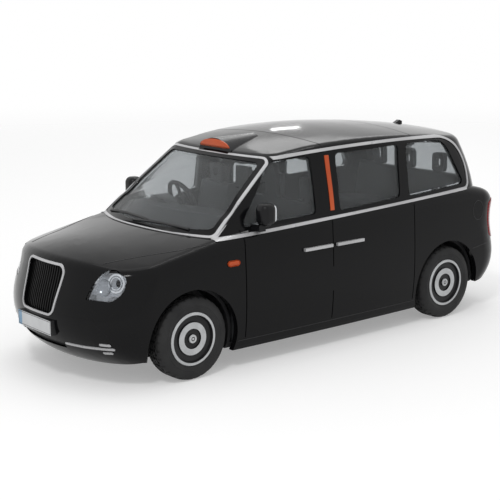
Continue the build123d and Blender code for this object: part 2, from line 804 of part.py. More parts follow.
repeater_y = (REPEATER_Y - REPEATER_SIZE[0] / 2, REPEATER_Y + REPEATER_SIZE[0] / 2)
repeater_z = (REPEATER_Z - REPEATER_SIZE[1] / 2, REPEATER_Z + REPEATER_SIZE[1] / 2)
with BuildPart() as side_repeaters:
    add(on_both_sides((SIDE - SIDE_ROOT, REPEATER_OUT), repeater_y, repeater_z))
save(side_repeaters.part, "side_repeaters")

# Door handles, bumper strips and the stripe on the middle pillar
handle_z = (HANDLE_Z - HANDLE_HEIGHT / 2, HANDLE_Z + HANDLE_HEIGHT / 2)
with BuildPart() as door_handles:
    for y in (-HANDLE_OFFSET, HANDLE_OFFSET):
        handle_y = (y - HANDLE_LENGTH / 2, y + HANDLE_LENGTH / 2)
        add(on_both_sides((SIDE - SIDE_ROOT, HANDLE_OUT), handle_y, handle_z))
save(door_handles.part, "door_handles")

with BuildPart() as strip_outline:
    with BuildSketch(Plane.XZ.offset(-NOSE - STRIP_START)):
        for side in SIDES.values():
            with Locations((side * sum(STRIP_X) / 2, STRIP_Z)):
                Rectangle(STRIP_X[1] - STRIP_X[0], STRIP_HEIGHT)
            with Locations((side * CLIP_X, STRIP_Z)):
                Rectangle(*CLIP_SIZE)
                Rectangle(CLIP_SIZE[0] - STRIP_HEIGHT, CLIP_SIZE[1] - STRIP_HEIGHT, mode=Mode.SUBTRACT)
    extrude(amount=STRIP_REACH)
save(common(proud_skin.part, strip_outline.part), "bumper_strips")

with BuildPart() as pillar_stripes:
    for side in SIDES.values():
        stripe_x = sorted((side * SIDE_GLASS_X, side * SIDE))
        stripe_y = (STRIPE_Y - STRIPE_WIDTH / 2, STRIPE_Y + STRIPE_WIDTH / 2)
        add(common(proud_skin.part, slab(stripe_x, stripe_y, STRIPE_Z)))
save(pillar_stripes.part, "pillar_stripes")

# Roof sign and aerial
def sign_face(y, half, edge_z, top_z, grow=0.0):
    """Section of the roof sign with a crowned top."""
    with BuildSketch(Plane.XZ.offset(-y)) as sketch:
        with BuildLine():
            ThreePointArc((-half, edge_z), (0, top_z), (half, edge_z))
            Polyline((half, edge_z), (half, SIGN_BASE_Z), (-half, SIGN_BASE_Z), (-half, edge_z))
        make_face()
        if grow:
            offset(amount=grow)
    return sketch.sketch


with BuildPart() as roof_sign:
    loft([
        sign_face(SIGN_Y, SIGN_HALF, SIGN_EDGE_Z, SIGN_TOP_Z),
        sign_face(SIGN_TAIL_Y, SIGN_TAIL_HALF, SIGN_TAIL_EDGE_Z, SIGN_TAIL_TOP_Z),
    ])
    add(OUTER, mode=Mode.SUBTRACT)
save(roof_sign.part, "roof_sign")

sign_lens = prism(sign_face(SIGN_Y, SIGN_HALF, SIGN_EDGE_Z, SIGN_TOP_Z, -SIGN_RIM), SIGN_LENS, both=False)
roof_sign_lens = cut_away(sign_lens, OUTER)
save(roof_sign_lens, "roof_sign_lens")

screen_trim = cut_away(common(proud_skin.part, screen_band), roof_sign.part, roof_sign_lens)
save(screen_trim, "screen_trim")

with BuildPart() as roof_fin:
    with BuildSketch(Plane.YZ.offset(-FIN_WIDTH / 2)):
        with BuildLine():
            Polyline(
                (FIN_Y - FIN_LENGTH / 2, FIN_TOP_Z - FIN_ROOT), (FIN_Y - FIN_LENGTH / 2, FIN_TOP_Z - FIN_NOSE),
                (FIN_Y + FIN_LENGTH / 4, FIN_TOP_Z), (FIN_Y + FIN_LENGTH / 2, FIN_TOP_Z - FIN_SLOPE),
                (FIN_Y + FIN_LENGTH / 2, FIN_TOP_Z - FIN_ROOT), close=True,
            )
        make_face()
    extrude(amount=FIN_WIDTH)
    add(OUTER, mode=Mode.SUBTRACT)
save(roof_fin.part, "roof_fin")

# Door mirrors
def mirror_housing(side):
    """Rounded pod on an arm from the foot of the front door's window, with a recess for its glass."""
    x, y, z = MIRROR
    width, depth, height = MIRROR_SIZE
    arm = slab(
        sorted((side * (SIDE - MIRROR_ARM_ROOT), side * x)), (y - MIRROR_ARM[0], y),
        (MIRROR_ARM_Z - MIRROR_ARM[1] / 2, MIRROR_ARM_Z + MIRROR_ARM[1] / 2),
    )
    with BuildPart() as pod:
        with Locations((side * x, y, z)):
            Box(width, depth, height)
        fillet(pod.edges(), MIRROR_ROUND)
        with BuildSketch(Plane.XZ.offset(-(y + depth / 2))):
            with Locations((side * x, z)):
                RectangleRounded(width - 2 * MIRROR_RIM, height - 2 * MIRROR_RIM, MIRROR_ROUND - MIRROR_RIM)
        extrude(amount=MIRROR_GLASS, mode=Mode.SUBTRACT)
    with BuildPart() as housing:
        add(cut_away(arm, OUTER, pod.part))
        add(pod.part)
    return housing.part


save_pair(mirror_housing(SIDES["left"]), "mirror")

with BuildPart() as mirror_glasses:
    mirror_edge = MIRROR_RIM + SEAT_GAP
    with BuildSketch(Plane.XZ.offset(-(MIRROR[1] + MIRROR_SIZE[1] / 2))):
        for side in SIDES.values():
            with Locations((side * MIRROR[0], MIRROR[2])):
                RectangleRounded(
                    MIRROR_SIZE[0] - 2 * mirror_edge, MIRROR_SIZE[2] - 2 * mirror_edge,
                    MIRROR_ROUND - mirror_edge,
                )
    extrude(amount=MIRROR_GLASS)
save(mirror_glasses.part, "mirror_glasses")

# Wipers parked on the cowl
with BuildPart() as wiper_bars:
    with BuildSketch(SCREEN_PLANE):
        for start, end in WIPERS:
            with BuildLine():
                (x0, s0), (x1, s1) = start, end
                Polyline(
                    (x0, s0 - WIPER_WIDTH / 2), (x1, s1 - WIPER_WIDTH / 2),
                    (x1, s1 + WIPER_WIDTH / 2), (x0, s0 + WIPER_WIDTH / 2), close=True,
                )
            make_face()
    extrude(amount=SCREEN_DEPTH, both=True)
save(cut_away(common(wiper_bars.part, upper_form(-WIPER_THICKNESS, rounded=False)), OUTER), "wipers")

# Base plate with its wheel housings, axle saddles, screw bosses and battery tray
LINER = lower_form(WALL + PLATE_GAP, rounded=False)
kick_y = AXLES["rear"] + LIFT_END
kick_z = LOWER_BODY[0].height + BUMPER_LIFT_REAR + PLATE_GAP
housings = cut_away(
    arches(TYRE_R + HOUSING_CLEARANCE + HOUSING_WALL, AXLE_Z, HOUSING_INNER_X - HOUSING_WALL, HOUSING_OUTER_X),
    WEDGES, slab((-SIDE, SIDE), (NOSE, TAIL), (-TYRE_R, PLATE_BOTTOM)),
)
with BuildPart() as plate_body:
    with BuildSketch(Plane.YZ.offset(-SIDE)):
        with BuildLine():
            Polyline(
                (PLATE_FRONT, PLATE_BOTTOM), (PLATE_KICK, PLATE_BOTTOM), (kick_y, kick_z),
                (PLATE_REAR, kick_z + REAR_RISE), (PLATE_REAR, REAR_PLATE_TOP),
                (kick_y - KICK_TOP_STEP, REAR_PLATE_TOP), (PLATE_KICK - KICK_TOP_STEP, PLATE_TOP),
                (PLATE_FRONT, PLATE_TOP), close=True,
            )
        make_face()
    extrude(amount=WIDTH)
    add(housings)
    add(LINER, mode=Mode.INTERSECT)
with BuildPart() as base_plate:
    add(plate_body.part)
    for y in AXLES.values():
        with Locations([(x, y, PLATE_TOP) for x in (-SADDLE_X, SADDLE_X)]):
            Box(*SADDLE_SIZE, align=(Align.CENTER, Align.CENTER, Align.MIN))
    with Locations([(0, y, PLATE_TOP) for y in (-SCREW_Y, SCREW_Y)]):
        Cylinder(SCREW_BOSS_R, SCREW_BOSS_TOP - PLATE_TOP, align=(Align.CENTER, Align.CENTER, Align.MIN))
    with Locations((0, 0, PLATE_BOTTOM)):
        Box(*TRAY_SIZE, TRAY_DROP, align=(Align.CENTER, Align.CENTER, Align.MAX))
    add(arches(TYRE_R + HOUSING_CLEARANCE, AXLE_Z, HOUSING_INNER_X, SIDE + PAST), mode=Mode.SUBTRACT)
    with Locations([(0, y, PLATE_BOTTOM) for y in (-SCREW_Y, SCREW_Y)]):
        Cylinder(
            SCREW_BORE_R, SCREW_BORE_LENGTH, align=(Align.CENTER, Align.CENTER, Align.MIN), mode=Mode.SUBTRACT
        )
    saddle_end = SADDLE_X + SADDLE_SIZE[0]
    for y in AXLES.values():
        with BuildSketch(Plane.YZ.offset(-saddle_end)):
            with Locations((y, AXLE_Z)):
                Circle(AXLE_R + AXLE_CLEARANCE)
            with Locations((y, AXLE_Z / 2)):
                Rectangle(SADDLE_SLOT, AXLE_Z)
        extrude(amount=2 * saddle_end, mode=Mode.SUBTRACT)
        for side in SIDES.values():
            with BuildSketch(Plane.YZ.offset(side * saddle_end)):
                with Locations((y, AXLE_Z)):
                    Circle(HOUSING_SLOT)
                with Locations((y, AXLE_Z / 2)):
                    Rectangle(2 * HOUSING_SLOT, AXLE_Z)
            extrude(amount=side * SADDLE_SIZE[0], mode=Mode.SUBTRACT)
save(base_plate.part, "base_plate")

# Cabin floor with the bulkhead in front and the shelf under the rear seats
with BuildPart() as cabin_floor:
    add(slab((-FLOOR_HALF, FLOOR_HALF), (FLOOR_FRONT, FLOOR_REAR), (PLATE_TOP, PLATE_TOP + FLOOR_THICKNESS)))
    add(slab((-FLOOR_HALF, FLOOR_HALF), (FLOOR_FRONT, FLOOR_FRONT + CABIN_WALL), (PLATE_TOP, BULKHEAD_Z)))
    add(slab((-FLOOR_HALF, FLOOR_HALF), (FLOOR_REAR - CABIN_WALL, FLOOR_REAR), (PLATE_TOP, SHELF_Z)))
    add(slab(
        (-SHELF_HALF, SHELF_HALF), (FLOOR_REAR - CABIN_WALL, SHELF_REAR), (SHELF_Z - SHELF_THICKNESS, SHELF_Z)
    ))
    with Locations([(0, y, PLATE_TOP) for y in (-SCREW_Y, SCREW_Y)]):
        Cylinder(SCREW_BOSS_R + BOSS_CLEARANCE, 2 * FLOOR_THICKNESS, mode=Mode.SUBTRACT)
save(cabin_floor.part, "cabin_floor")


# Rear bench for three, with its headrests
with BuildPart() as rear_bench:
    with BuildSketch(Plane.YZ.offset(-BENCH_HALF)) as bench_section:
        with BuildLine():
            Polyline(
                (BENCH_FRONT, SHELF_Z), (BENCH_FRONT, CUSHION_Z),
                (BENCH_BACK - BACKREST_FOOT, CUSHION_Z - CUSHION_DIP), (BENCH_BACK - BACKREST_TOP, BENCH_TOP_Z),
                (BENCH_BACK, BENCH_TOP_Z), (BENCH_BACK - BACKREST_RAKE, SHELF_Z), close=True,
            )
        make_face()
        fillet(bench_section.vertices().sort_by_distance((BENCH_FRONT, CUSHION_Z))[0], CUSHION_ROUND)
        fillet(bench_section.vertices().group_by(Axis.Y)[-1], BACKREST_ROUND)
    extrude(amount=2 * BENCH_HALF)
    bench_outline = bench_section.sketch
    for x in BENCH_GROOVES_X:
        with BuildSketch(Plane.YZ.offset(x - BENCH_GROOVE[0] / 2)):
            add(bench_outline)
            offset(bench_outline, amount=-BENCH_GROOVE[1], mode=Mode.SUBTRACT)
            with Locations((BENCH_BACK, CUSHION_Z)):
                Rectangle(2 * BACKREST_TOP - 2 * BENCH_GROOVE[1], LENGTH, mode=Mode.SUBTRACT)
            with Locations((BENCH_BACK, SHELF_Z)):
                Rectangle(LENGTH, PAST, mode=Mode.SUBTRACT)
        extrude(amount=BENCH_GROOVE[0], mode=Mode.SUBTRACT)
save(rear_bench.part, "rear_bench")


def headrest(size, x, y, base_z, hole):
    """Loop-shaped headrest with an open middle."""
    with BuildPart() as block:
        with BuildSketch(Plane.XZ.offset(-(y + size[1] / 2))):
            with Locations((x, base_z + size[2] / 2)):
                RectangleRounded(size[0], size[2], HEADREST_ROUND)
                RectangleRounded(hole[0], hole[1], HEADREST_ROUND / 2, mode=Mode.SUBTRACT)
        extrude(amount=size[1])
    return block.part


with BuildPart() as rear_headrests:
    add([headrest(HEADREST, x, REAR_HEADREST_Y, BENCH_TOP_Z, HEADREST_HOLE) for x in REAR_HEADRESTS_X])
save(rear_headrests.part, "rear_headrests")

# Driver's seat on its pedestal
driver_headrest = headrest(DRIVER_HEADREST, DRIVER_X, DRIVER_HEADREST_Y, DRIVER_TOP_Z, HEADREST_HOLE)
with BuildPart() as driver_seat:
    with BuildSketch(Plane.YZ.offset(DRIVER_X - DRIVER_HALF)) as driver_section:
        with BuildLine():
            Polyline(
                (DRIVER_FRONT, DRIVER_CUSHION_Z[0]), (DRIVER_FRONT, DRIVER_CUSHION_Z[1]),
                (DRIVER_FRONT + DRIVER_CUSHION[0], DRIVER_CUSHION_Z[1] - DRIVER_CUSHION[1]),
                (DRIVER_FRONT + DRIVER_BACK_TOP[0], DRIVER_TOP_Z),
                (DRIVER_FRONT + DRIVER_BACK_TOP[1], DRIVER_TOP_Z),
                (DRIVER_FRONT + DRIVER_BACK_FOOT, DRIVER_CUSHION_Z[0]), close=True,
            )
        make_face()
        fillet(driver_section.vertices(), DRIVER_ROUND)
    extrude(amount=2 * DRIVER_HALF)
    add(slab(
        (DRIVER_X - PEDESTAL_HALF, DRIVER_X + PEDESTAL_HALF),
        (DRIVER_FRONT + PEDESTAL_Y[0], DRIVER_FRONT + PEDESTAL_Y[1]),
        (PLATE_TOP + FLOOR_THICKNESS, DRIVER_CUSHION_Z[0] + DRIVER_ROUND),
    ))
    add(driver_headrest)
save(driver_seat.part, "driver_seat")

# Partition behind the driver, with two windows
left_edge = [(-x, z) for x, z in PARTITION_EDGE]
window_inner, window_outer, window_low, window_top = PARTITION_WINDOW
with BuildPart() as partition:
    with BuildSketch(Plane.XZ.offset(-PARTITION_Y)):
        with BuildLine():
            ThreePointArc(left_edge[0], (0, PARTITION_CROWN), PARTITION_EDGE[0])
            Polyline(*PARTITION_EDGE, *reversed(left_edge))
        make_face()
        for side in SIDES.values():
            with Locations((side * (window_inner + window_outer) / 2, (window_low + window_top) / 2)):
                RectangleRounded(
                    window_outer - window_inner, window_top - window_low, PARTITION_WINDOW_ROUND,
                    mode=Mode.SUBTRACT,
                )
    extrude(amount=-PARTITION_THICKNESS)
save(partition.part, "partition")

# Tip-up seats folded against the partition
with BuildPart() as tip_up_seats:
    seat_y = PARTITION_Y + PARTITION_THICKNESS
    for x in TIP_UP_X:
        with Locations((x, seat_y, TIP_UP_PAD_Z)):
            Box(*TIP_UP_PAD, align=(Align.CENTER, Align.MIN, Align.CENTER))
        with Locations((x, seat_y, TIP_UP_HEAD_Z)):
            Box(*TIP_UP_HEAD, align=(Align.CENTER, Align.MIN, Align.CENTER))
        with Locations((x, seat_y, (TIP_UP_PAD_Z + TIP_UP_HEAD_Z) / 2)):
            Box(*TIP_UP_LINK, TIP_UP_HEAD_Z - TIP_UP_PAD_Z, align=(Align.CENTER, Align.MIN, Align.CENTER))
save(tip_up_seats.part, "tip_up_seats")


# Dashboard, bowed like the foot of the windscreen
def dash_face(z, front, sweep):
    with BuildSketch(Plane.XY.offset(z)) as sketch:
        with BuildLine():
            ThreePointArc((-DASH_HALF, front + sweep), (0, front), (DASH_HALF, front + sweep))
            Polyline(
                (DASH_HALF, front + sweep), (DASH_HALF, DASH_REAR),
                (-DASH_HALF, DASH_REAR), (-DASH_HALF, front + sweep),
            )
        make_face()
    return sketch.sketch


with BuildPart() as dashboard:
    add(dash_face(BULKHEAD_Z, *DASH_FOOT))
    add(dash_face(DASH_FOOT_Z, *DASH_FOOT))
    loft(ruled=True)
    add(dash_face(DASH_FOOT_Z, *DASH_FOOT))
    add(dash_face(DASH_TOP_Z, *DASH_TOP))
    loft(ruled=True)
    with BuildSketch(Plane.XZ.offset(-DASH_REAR)):
        with BuildLine():
            ThreePointArc(
                (DRIVER_X - HOOD_HALF, DASH_TOP_Z - HOOD_FOOT), (DRIVER_X, DASH_TOP_Z + HOOD_RISE),
                (DRIVER_X + HOOD_HALF, DASH_TOP_Z - HOOD_FOOT),
            )
            Line((DRIVER_X + HOOD_HALF, DASH_TOP_Z - HOOD_FOOT), (DRIVER_X - HOOD_HALF, DASH_TOP_Z - HOOD_FOOT))
        make_face()
    extrude(amount=HOOD_DEPTH)
save(dashboard.part, "dashboard")

# Steering wheel on its column
ring_plane = Plane(
    origin=WHEEL_RING_AT, x_dir=(1, 0, 0),
    z_dir=Vector(0, 1, 0).rotate(Axis.X, WHEEL_RING_LEAN),
)
with BuildPart(ring_plane) as steering_wheel:
    Cylinder(WHEEL_RING_R + WHEEL_RING_SECTION, 2 * WHEEL_RING_SECTION)
    Cylinder(WHEEL_RING_R - WHEEL_RING_SECTION, COLUMN_LENGTH, mode=Mode.SUBTRACT)
    chamfer(steering_wheel.edges().filter_by(GeomType.CIRCLE), WHEEL_RING_SECTION / 2)
    Cylinder(*HUB)
    with PolarLocations(WHEEL_RING_R / 2, SPOKES, start_angle=-90):
        Box(WHEEL_RING_R, *SPOKE)
    with Locations((0, 0, -COLUMN_LENGTH / 2)):
        Cylinder(COLUMN_R, COLUMN_LENGTH)
save(cut_away(steering_wheel.part, dashboard.part), "steering_wheel")

# Axles, rims and tyres
def axle_plane(y):
    """Plane through the axle: local X along it, local Y upwards."""
    return Plane(origin=(0, y, AXLE_Z), x_dir=(1, 0, 0), z_dir=(0, -1, 0))


def turned(outline, y, side):
    """Ring or disc turned about the axle from an outline of (distance from the middle, radius)."""
    with BuildPart() as block:
        with BuildSketch(axle_plane(y)):
            with BuildLine():
                Polyline(*[(side * x, radius) for x, radius in outline], close=True)
            make_face()
        revolve(axis=Axis((0, y, AXLE_Z), (1, 0, 0)))
    return block.part


TYRE_OUTLINE = [(TYRE_OUTER_X - inset, radius) for inset, radius in TYRE_SECTION]
TYRE_OUTLINE += [(TYRE_OUTER_X - TYRE_WIDTH + inset, radius) for inset, radius in reversed(TYRE_SECTION)]
# Rim from its hub outwards and back over its face, as (distance from the middle, radius)
RIM_OUTLINE = (
    (16.9, AXLE_R), (16.9, 1.6), (19.0, 1.6), (19.0, 4.4), (16.5, 4.4), (16.5, RIM_R), (RIM_FACE_X, RIM_R),
    (RIM_FACE_X + 0.15, 5.05), (RIM_FACE_X + 0.15, 4.45), (RIM_FACE_X - 0.3, 4.3), (RIM_FACE_X - 0.4, 3.25),
    (RIM_FACE_X - 0.15, 3.2), (RIM_FACE_X - 0.15, 1.95), (RIM_FACE_X - 0.4, 1.9), (RIM_FACE_X - 0.4, 0.85),
    (RIM_FACE_X, 0.8), (RIM_FACE_X, 0), (ROD_END, 0), (ROD_END, AXLE_R),
)
for end, y in AXLES.items():
    with BuildPart() as rod:
        with BuildSketch(Plane.YZ.offset(-ROD_END)):
            with Locations((y, AXLE_Z)):
                Circle(AXLE_R)
        extrude(amount=2 * ROD_END)
    save(rod.part, f"{end}_axle_rod")
    for name, side in SIDES.items():
        save(turned(RIM_OUTLINE, y, side), f"rim_{end}_{name}")
        save(turned(TYRE_OUTLINE, y, side), f"tyre_{end}_{name}")
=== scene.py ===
import math

import bmesh
import bpy
from mathutils import Matrix, Vector


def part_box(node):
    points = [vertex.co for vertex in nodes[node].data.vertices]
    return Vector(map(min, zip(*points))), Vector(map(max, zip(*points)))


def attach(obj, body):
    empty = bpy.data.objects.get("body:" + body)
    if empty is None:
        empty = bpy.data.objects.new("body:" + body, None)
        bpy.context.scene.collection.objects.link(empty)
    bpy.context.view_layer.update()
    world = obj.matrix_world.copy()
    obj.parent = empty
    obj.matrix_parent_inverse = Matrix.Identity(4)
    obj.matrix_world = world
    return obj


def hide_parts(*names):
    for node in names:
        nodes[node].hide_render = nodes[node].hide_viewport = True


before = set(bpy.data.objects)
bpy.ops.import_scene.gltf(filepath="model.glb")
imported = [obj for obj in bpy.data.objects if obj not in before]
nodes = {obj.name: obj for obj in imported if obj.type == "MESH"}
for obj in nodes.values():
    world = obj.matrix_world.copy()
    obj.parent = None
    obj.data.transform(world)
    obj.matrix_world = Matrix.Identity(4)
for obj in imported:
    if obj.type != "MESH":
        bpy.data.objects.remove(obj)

bpy.ops.object.select_all(action="DESELECT")
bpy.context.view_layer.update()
MM = 0.001

# Camera, fitted to the photograph: place, direction, roll round the line of sight and focal length
CAMERA_AT_MM = (199.2, -166.49, 72.34)
CAMERA_AZIMUTH = math.radians(50.82)
CAMERA_ELEVATION = math.radians(12.07)
CAMERA_ROLL = math.radians(-0.31)
CAMERA_SEES_FROM, CAMERA_SEES_TO = 0.01, 20
FOCAL_PIXELS = 1234.5
PHOTO_PIXELS = 500
SENSOR_MM = 36.0

# Lamps: place and aim in millimetres, size in metres, power in watts
LAMPS = (
    ("key_lamp", (170, -230, 330), (0, 0, 15), (0.06, 0.06), 0.36),
    ("top_panel", (-60, 40, 380), (0, 0, 20), (0.30, 0.22), 0.16),
    ("rear_panel", (-220, 260, 240), (0, 0, 20), (0.20, 0.12), 0.10),
    ("roof_spot", (-295, 251, 133), (0, 0, 43), (0.020, 0.012), 0.0058),
    ("shoulder_strip", (-20, 100, 350), (15, -40, 20), (0.008, 0.16), 0.045),
)
SURROUND_LIGHT = 0.62

# Floor: white close to the model, fading into the white surround
FLOOR_SIZE = 2.0
FLOOR_SOLID_TO = 0.16
FLOOR_GONE_AT = 0.55
FLOOR_LIFT = 0.30
FLOOR_COLOUR = (0.80, 0.80, 0.80, 1)
FLOOR_ROUGHNESS = 0.9

# Surfaces: scales of the noise behind colour drift, sheen and grain, the stretch of a noise that a colour or
# a roughness runs over, and how deep grain looks
DRIFT_SCALE = 90.0
SHEEN_SCALE = 350.0
GRAIN_SCALE = 2500.0
GRAIN_DETAIL = 4.0
GRAIN_DEPTH = 0.03 * MM
DRIFT_STRETCH = (0.35, 0.65)
SHEEN_STRETCH = (0.3, 0.7)

# Black paint: dust as rare pale specks, and orange peel
DUST_SCALE = 5200.0
DUST_STRETCH = (0.70, 0.82)
PAINT_SHEEN_SCALE = 120.0
PEEL_SCALE = 420.0

# Clear mouldings: scales of their haze and waviness, and how much rougher the haziest spots are
HAZE_SCALE = 160.0
WAVINESS_SCALE = 220.0
HAZE_SPREAD = 0.03

# Tail lamps: scale of the wave behind their ribs, and how deep the ribs look
RIB_SCALE = 460.0
RIB_DEPTH = 0.05 * MM

# Number plates: scale of their colour drift, share of the length that the blue band takes, how far in the
# border starts and ends, and the share of facing along the car below which a surface is the plate's edge
PLATE_SCALE = 200.0
BAND_SHARE = 0.115
BORDER_MM = (0.14, 0.26)
PLATE_EDGE_BELOW = 0.6

# Wheels, measured from the imported front left tyre
TYRE_LOW, TYRE_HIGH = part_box("tyre_front_left")
TYRE_R = (TYRE_HIGH.z - TYRE_LOW.z) / 2
TYRE_WIDTH = TYRE_HIGH.x - TYRE_LOW.x
AXLE_Y = -(TYRE_LOW.y + TYRE_HIGH.y) / 2
AXLE_Z = (TYRE_LOW.z + TYRE_HIGH.z) / 2
WHEEL_X = (TYRE_LOW.x + TYRE_HIGH.x) / 2
ENDS = {"front": -1, "rear": 1}
SIDES = {"left": 1, "right": -1}

# Wheel covers: inner and outer radius of each printed silver ring in millimetres, the share of the tyre's half
# width beyond which they are printed, and the scales of the colour drift of rings and cover
RINGS_MM = ((0.0, 0.24), (0.42, 0.82), (1.95, 3.15), (4.58, 5.12))
COVER_SHARE = 0.6
RING_SCALE = 500.0
COVER_SCALE = 300.0

# Tyre: half width of the tread band, then steps of its side as (distance in from its face, radius)
TREAD_SEGMENTS = 120
TREAD_R = TYRE_R - 0.02 * MM
TREAD_HALF = TYRE_WIDTH / 2 - 1.1 * MM
TYRE_STEPS_MM = (
    (0.62, 7.86), (0.35, 7.62), (0.12, 7.2), (0.0, 6.6),
    (0.0, 6.35), (0.07, 6.25), (0.03, 6.1), (0.3, 5.2),
)

# Tread: where it is cut along, the middle of each groove, and the reach and depth of grooves and sipes
TREAD_CUTS_MM = (-0.95, -0.7, -0.12, 0.12, 0.7, 0.95)
TREAD_GROOVES_MM = (0.825, 0.0, -0.825)
GROOVE_REACH = 0.1 * MM
GROOVE_FROM_R = 0.97 * TREAD_R
GROOVE_DEPTH = 0.16 * MM
SIPE_CLEAR_OF_GROOVE = 0.14 * MM
SIPE_FROM_R = 0.955 * TREAD_R
SIPE_DEPTH = 0.12 * MM
SIPE_EVERY = 4
SIDEWALL_FACING = 0.8
RIB_PITCH = 0.55 * MM

# Laid pieces: how far from the surface ovals and bars start, their lift off it, and how finely a bar is cut
OVAL_START = 4.0 * MM
PANEL_START = 70 * MM
LAID_LIFT = 0.01 * MM
LAID_CUT = 0.9 * MM
BAR_VERTICES = 24
OVAL_VERTICES = 48

# Lines pressed into the panels: for the left side unless they cross the middle, the way each faces,
# then its points in millimetres, of which the one along that way doesn't matter
LINE_WIDTH_MM = 0.16
LINE_HEIGHT_MM = 0.03
PANEL_LINES = {
    "bonnet_line": ((0, 0, 1), ((20.0, -29.6, 0), (18.2, -35.7, 0), (15.9, -40.8, 0), (13.0, -49.0, 0))),
    "sill_line": ((1, 0, 0), ((0, -24.3, 5.75), (0, 24.3, 5.75))),
    "rear_bumper_line": ((1, 0, 0), ((0, 42.9, 14.68), (0, 45.85, 15.04), (0, 48.4, 15.3))),
}
TAILGATE_LINES = {
    "tailgate_line_high": ((0, 1, 0), ((-15.4, 0, 27.6), (15.4, 0, 27.6))),
    "tailgate_line_low": ((0, 1, 0), ((-15.4, 0, 13.0), (15.4, 0, 13.0))),
}

# Outline of the charging flap: its middle, then half width, half height and the share that stays open
FLAP_AT_MM = (21.0, 44.75, 23.1)
FLAP_MM = (1.8, 2.25, 0.93)

# Silver strips of the front bumper: a long bar with a short one above and below its outer end
STRIP_WIDTH_MM = 0.46
STRIP_HEIGHT_MM = 0.16
BUMPER_STRIPS = (
    ((7.8, 0, 8.1), (12.2, 0, 8.05), (17.3, 0, 8.2)),
    ((15.5, 0, 9.0), (17.0, 0, 9.0)),
    ((15.3, 0, 7.25), (16.6, 0, 7.35)),
)

# Side repeaters: place of the left one, then depth, length and height of a lens, the share of the height that
# rounds its ends, and the width and least angle of its bevelled edges
REPEATER_AT_MM = (21.42, -25.5, 21.25)
REPEATER_MM = (0.56, 2.8, 1.12)
REPEATER_END_SHARE = 0.48
REPEATER_BEVEL = 0.14 * MM
REPEATER_BEVEL_ANGLE = math.radians(50)

# Headlamps: middle of the left one's bowl, the way that lamp faces, half width, half height and open share
# of the rings laid on its reflector, then the projector's half sizes and its distance from the bowl's middle
BOWL_MM = (16.55, -48.65, 20.05)
LAMP_FACING = (0.70, -0.68, 0.22)
BOWL_RIM_MM = (1.55, 1.75, 0.80)
BOWL_STEP_MM = (1.05, 1.20, 0.86)
PROJECTOR_MM = (0.36, 0.62, 0.0)
PROJECTOR_ACROSS = 0.35 * MM
LAMP_RING_HEIGHT_MM = 0.09

# Roof sign's lens, a half oval on the housing's front: half width and height, middle of its lower edge,
# depth, then the rounding of its lower corners and the bevel of its rim
SIGN_LENS_MM = (4.75, 1.62)
SIGN_LENS_AT_MM = (0.0, -13.36, 40.28)
SIGN_LENS_DEPTH = 0.30 * MM
SIGN_LENS_VERTICES = 96
SIGN_LENS_CORNER = 0.35 * MM
SIGN_LENS_BEVEL = 0.09 * MM
SIGN_LENS_END_FROM = SIGN_LENS_MM[0] * MM * 0.99

# Shading: angle above which an edge stays sharp, for each kind of piece
PANEL_SHARP = math.radians(28)
TYRE_SHARP = math.radians(24)
LAID_SHARP = math.radians(35)
LENS_SHARP = math.radians(40)

# Distances within which vertices are merged, and within which an edge counts as picked
MERGE_WITHIN = 0.002 * MM
ON_PLANE = 0.01 * MM
SIGN_CORNER_WITHIN = 0.001 * MM


def make_camera():
    data = bpy.data.cameras.new("photo_camera")
    data.sensor_width = SENSOR_MM
    data.lens = FOCAL_PIXELS / PHOTO_PIXELS * SENSOR_MM
    data.clip_start = CAMERA_SEES_FROM
    data.clip_end = CAMERA_SEES_TO
    camera = bpy.data.objects.new("photo_camera", data)
    bpy.context.scene.collection.objects.link(camera)
    back = Vector((
        math.sin(CAMERA_AZIMUTH) * math.cos(CAMERA_ELEVATION),
        -math.cos(CAMERA_AZIMUTH) * math.cos(CAMERA_ELEVATION),
        math.sin(CAMERA_ELEVATION),
    ))
    right = Vector((0, 0, 1)).cross(back).normalized()
    up = back.cross(right)
    rolled_right = math.cos(CAMERA_ROLL) * right + math.sin(CAMERA_ROLL) * up
    rolled_up = math.cos(CAMERA_ROLL) * up - math.sin(CAMERA_ROLL) * right
    turn = Matrix((rolled_right, rolled_up, back)).transposed().to_4x4()
    camera.matrix_world = Matrix.Translation(Vector(CAMERA_AT_MM) * MM) @ turn
    bpy.context.scene.camera = camera


def make_lamps():
    for name, at, aim, size, watts in LAMPS:
        data = bpy.data.lights.new(name, "AREA")
        data.shape = "RECTANGLE"
        data.size, data.size_y = size
        data.energy = watts
        lamp = bpy.data.objects.new(name, data)
        lamp.location = Vector(at) * MM
        lamp.rotation_euler = (Vector(aim) - Vector(at)).to_track_quat("-Z", "Y").to_euler()
        bpy.context.scene.collection.objects.link(lamp)


def maths(tree, operation, first, second=None):
    """Result of one sum, whose terms are numbers or the outputs of other nodes."""
    node = tree.nodes.new("ShaderNodeMath")
    node.operation = operation
    for socket, value in zip(node.inputs, (first, second)):
        if value is None:
            continue
        if isinstance(value, (int, float)):
            socket.default_value = value
        else:
            tree.links.new(value, socket)
    return node.outputs[0]


def between(tree, value, low, high):
    """1 where a value lies between two limits, else 0."""
    above = maths(tree, "GREATER_THAN", value, low)
    return maths(tree, "MULTIPLY", above, maths(tree, "LESS_THAN", value, high))


def seen_rays(tree):
    """1 for camera, glossy and transmission rays, 0 for the rays that light things."""
    path = tree.nodes.new("ShaderNodeLightPath").outputs
    seen = maths(tree, "MAXIMUM", path["Is Camera Ray"], path["Is Glossy Ray"])
    return maths(tree, "MAXIMUM", seen, path["Is Transmission Ray"])


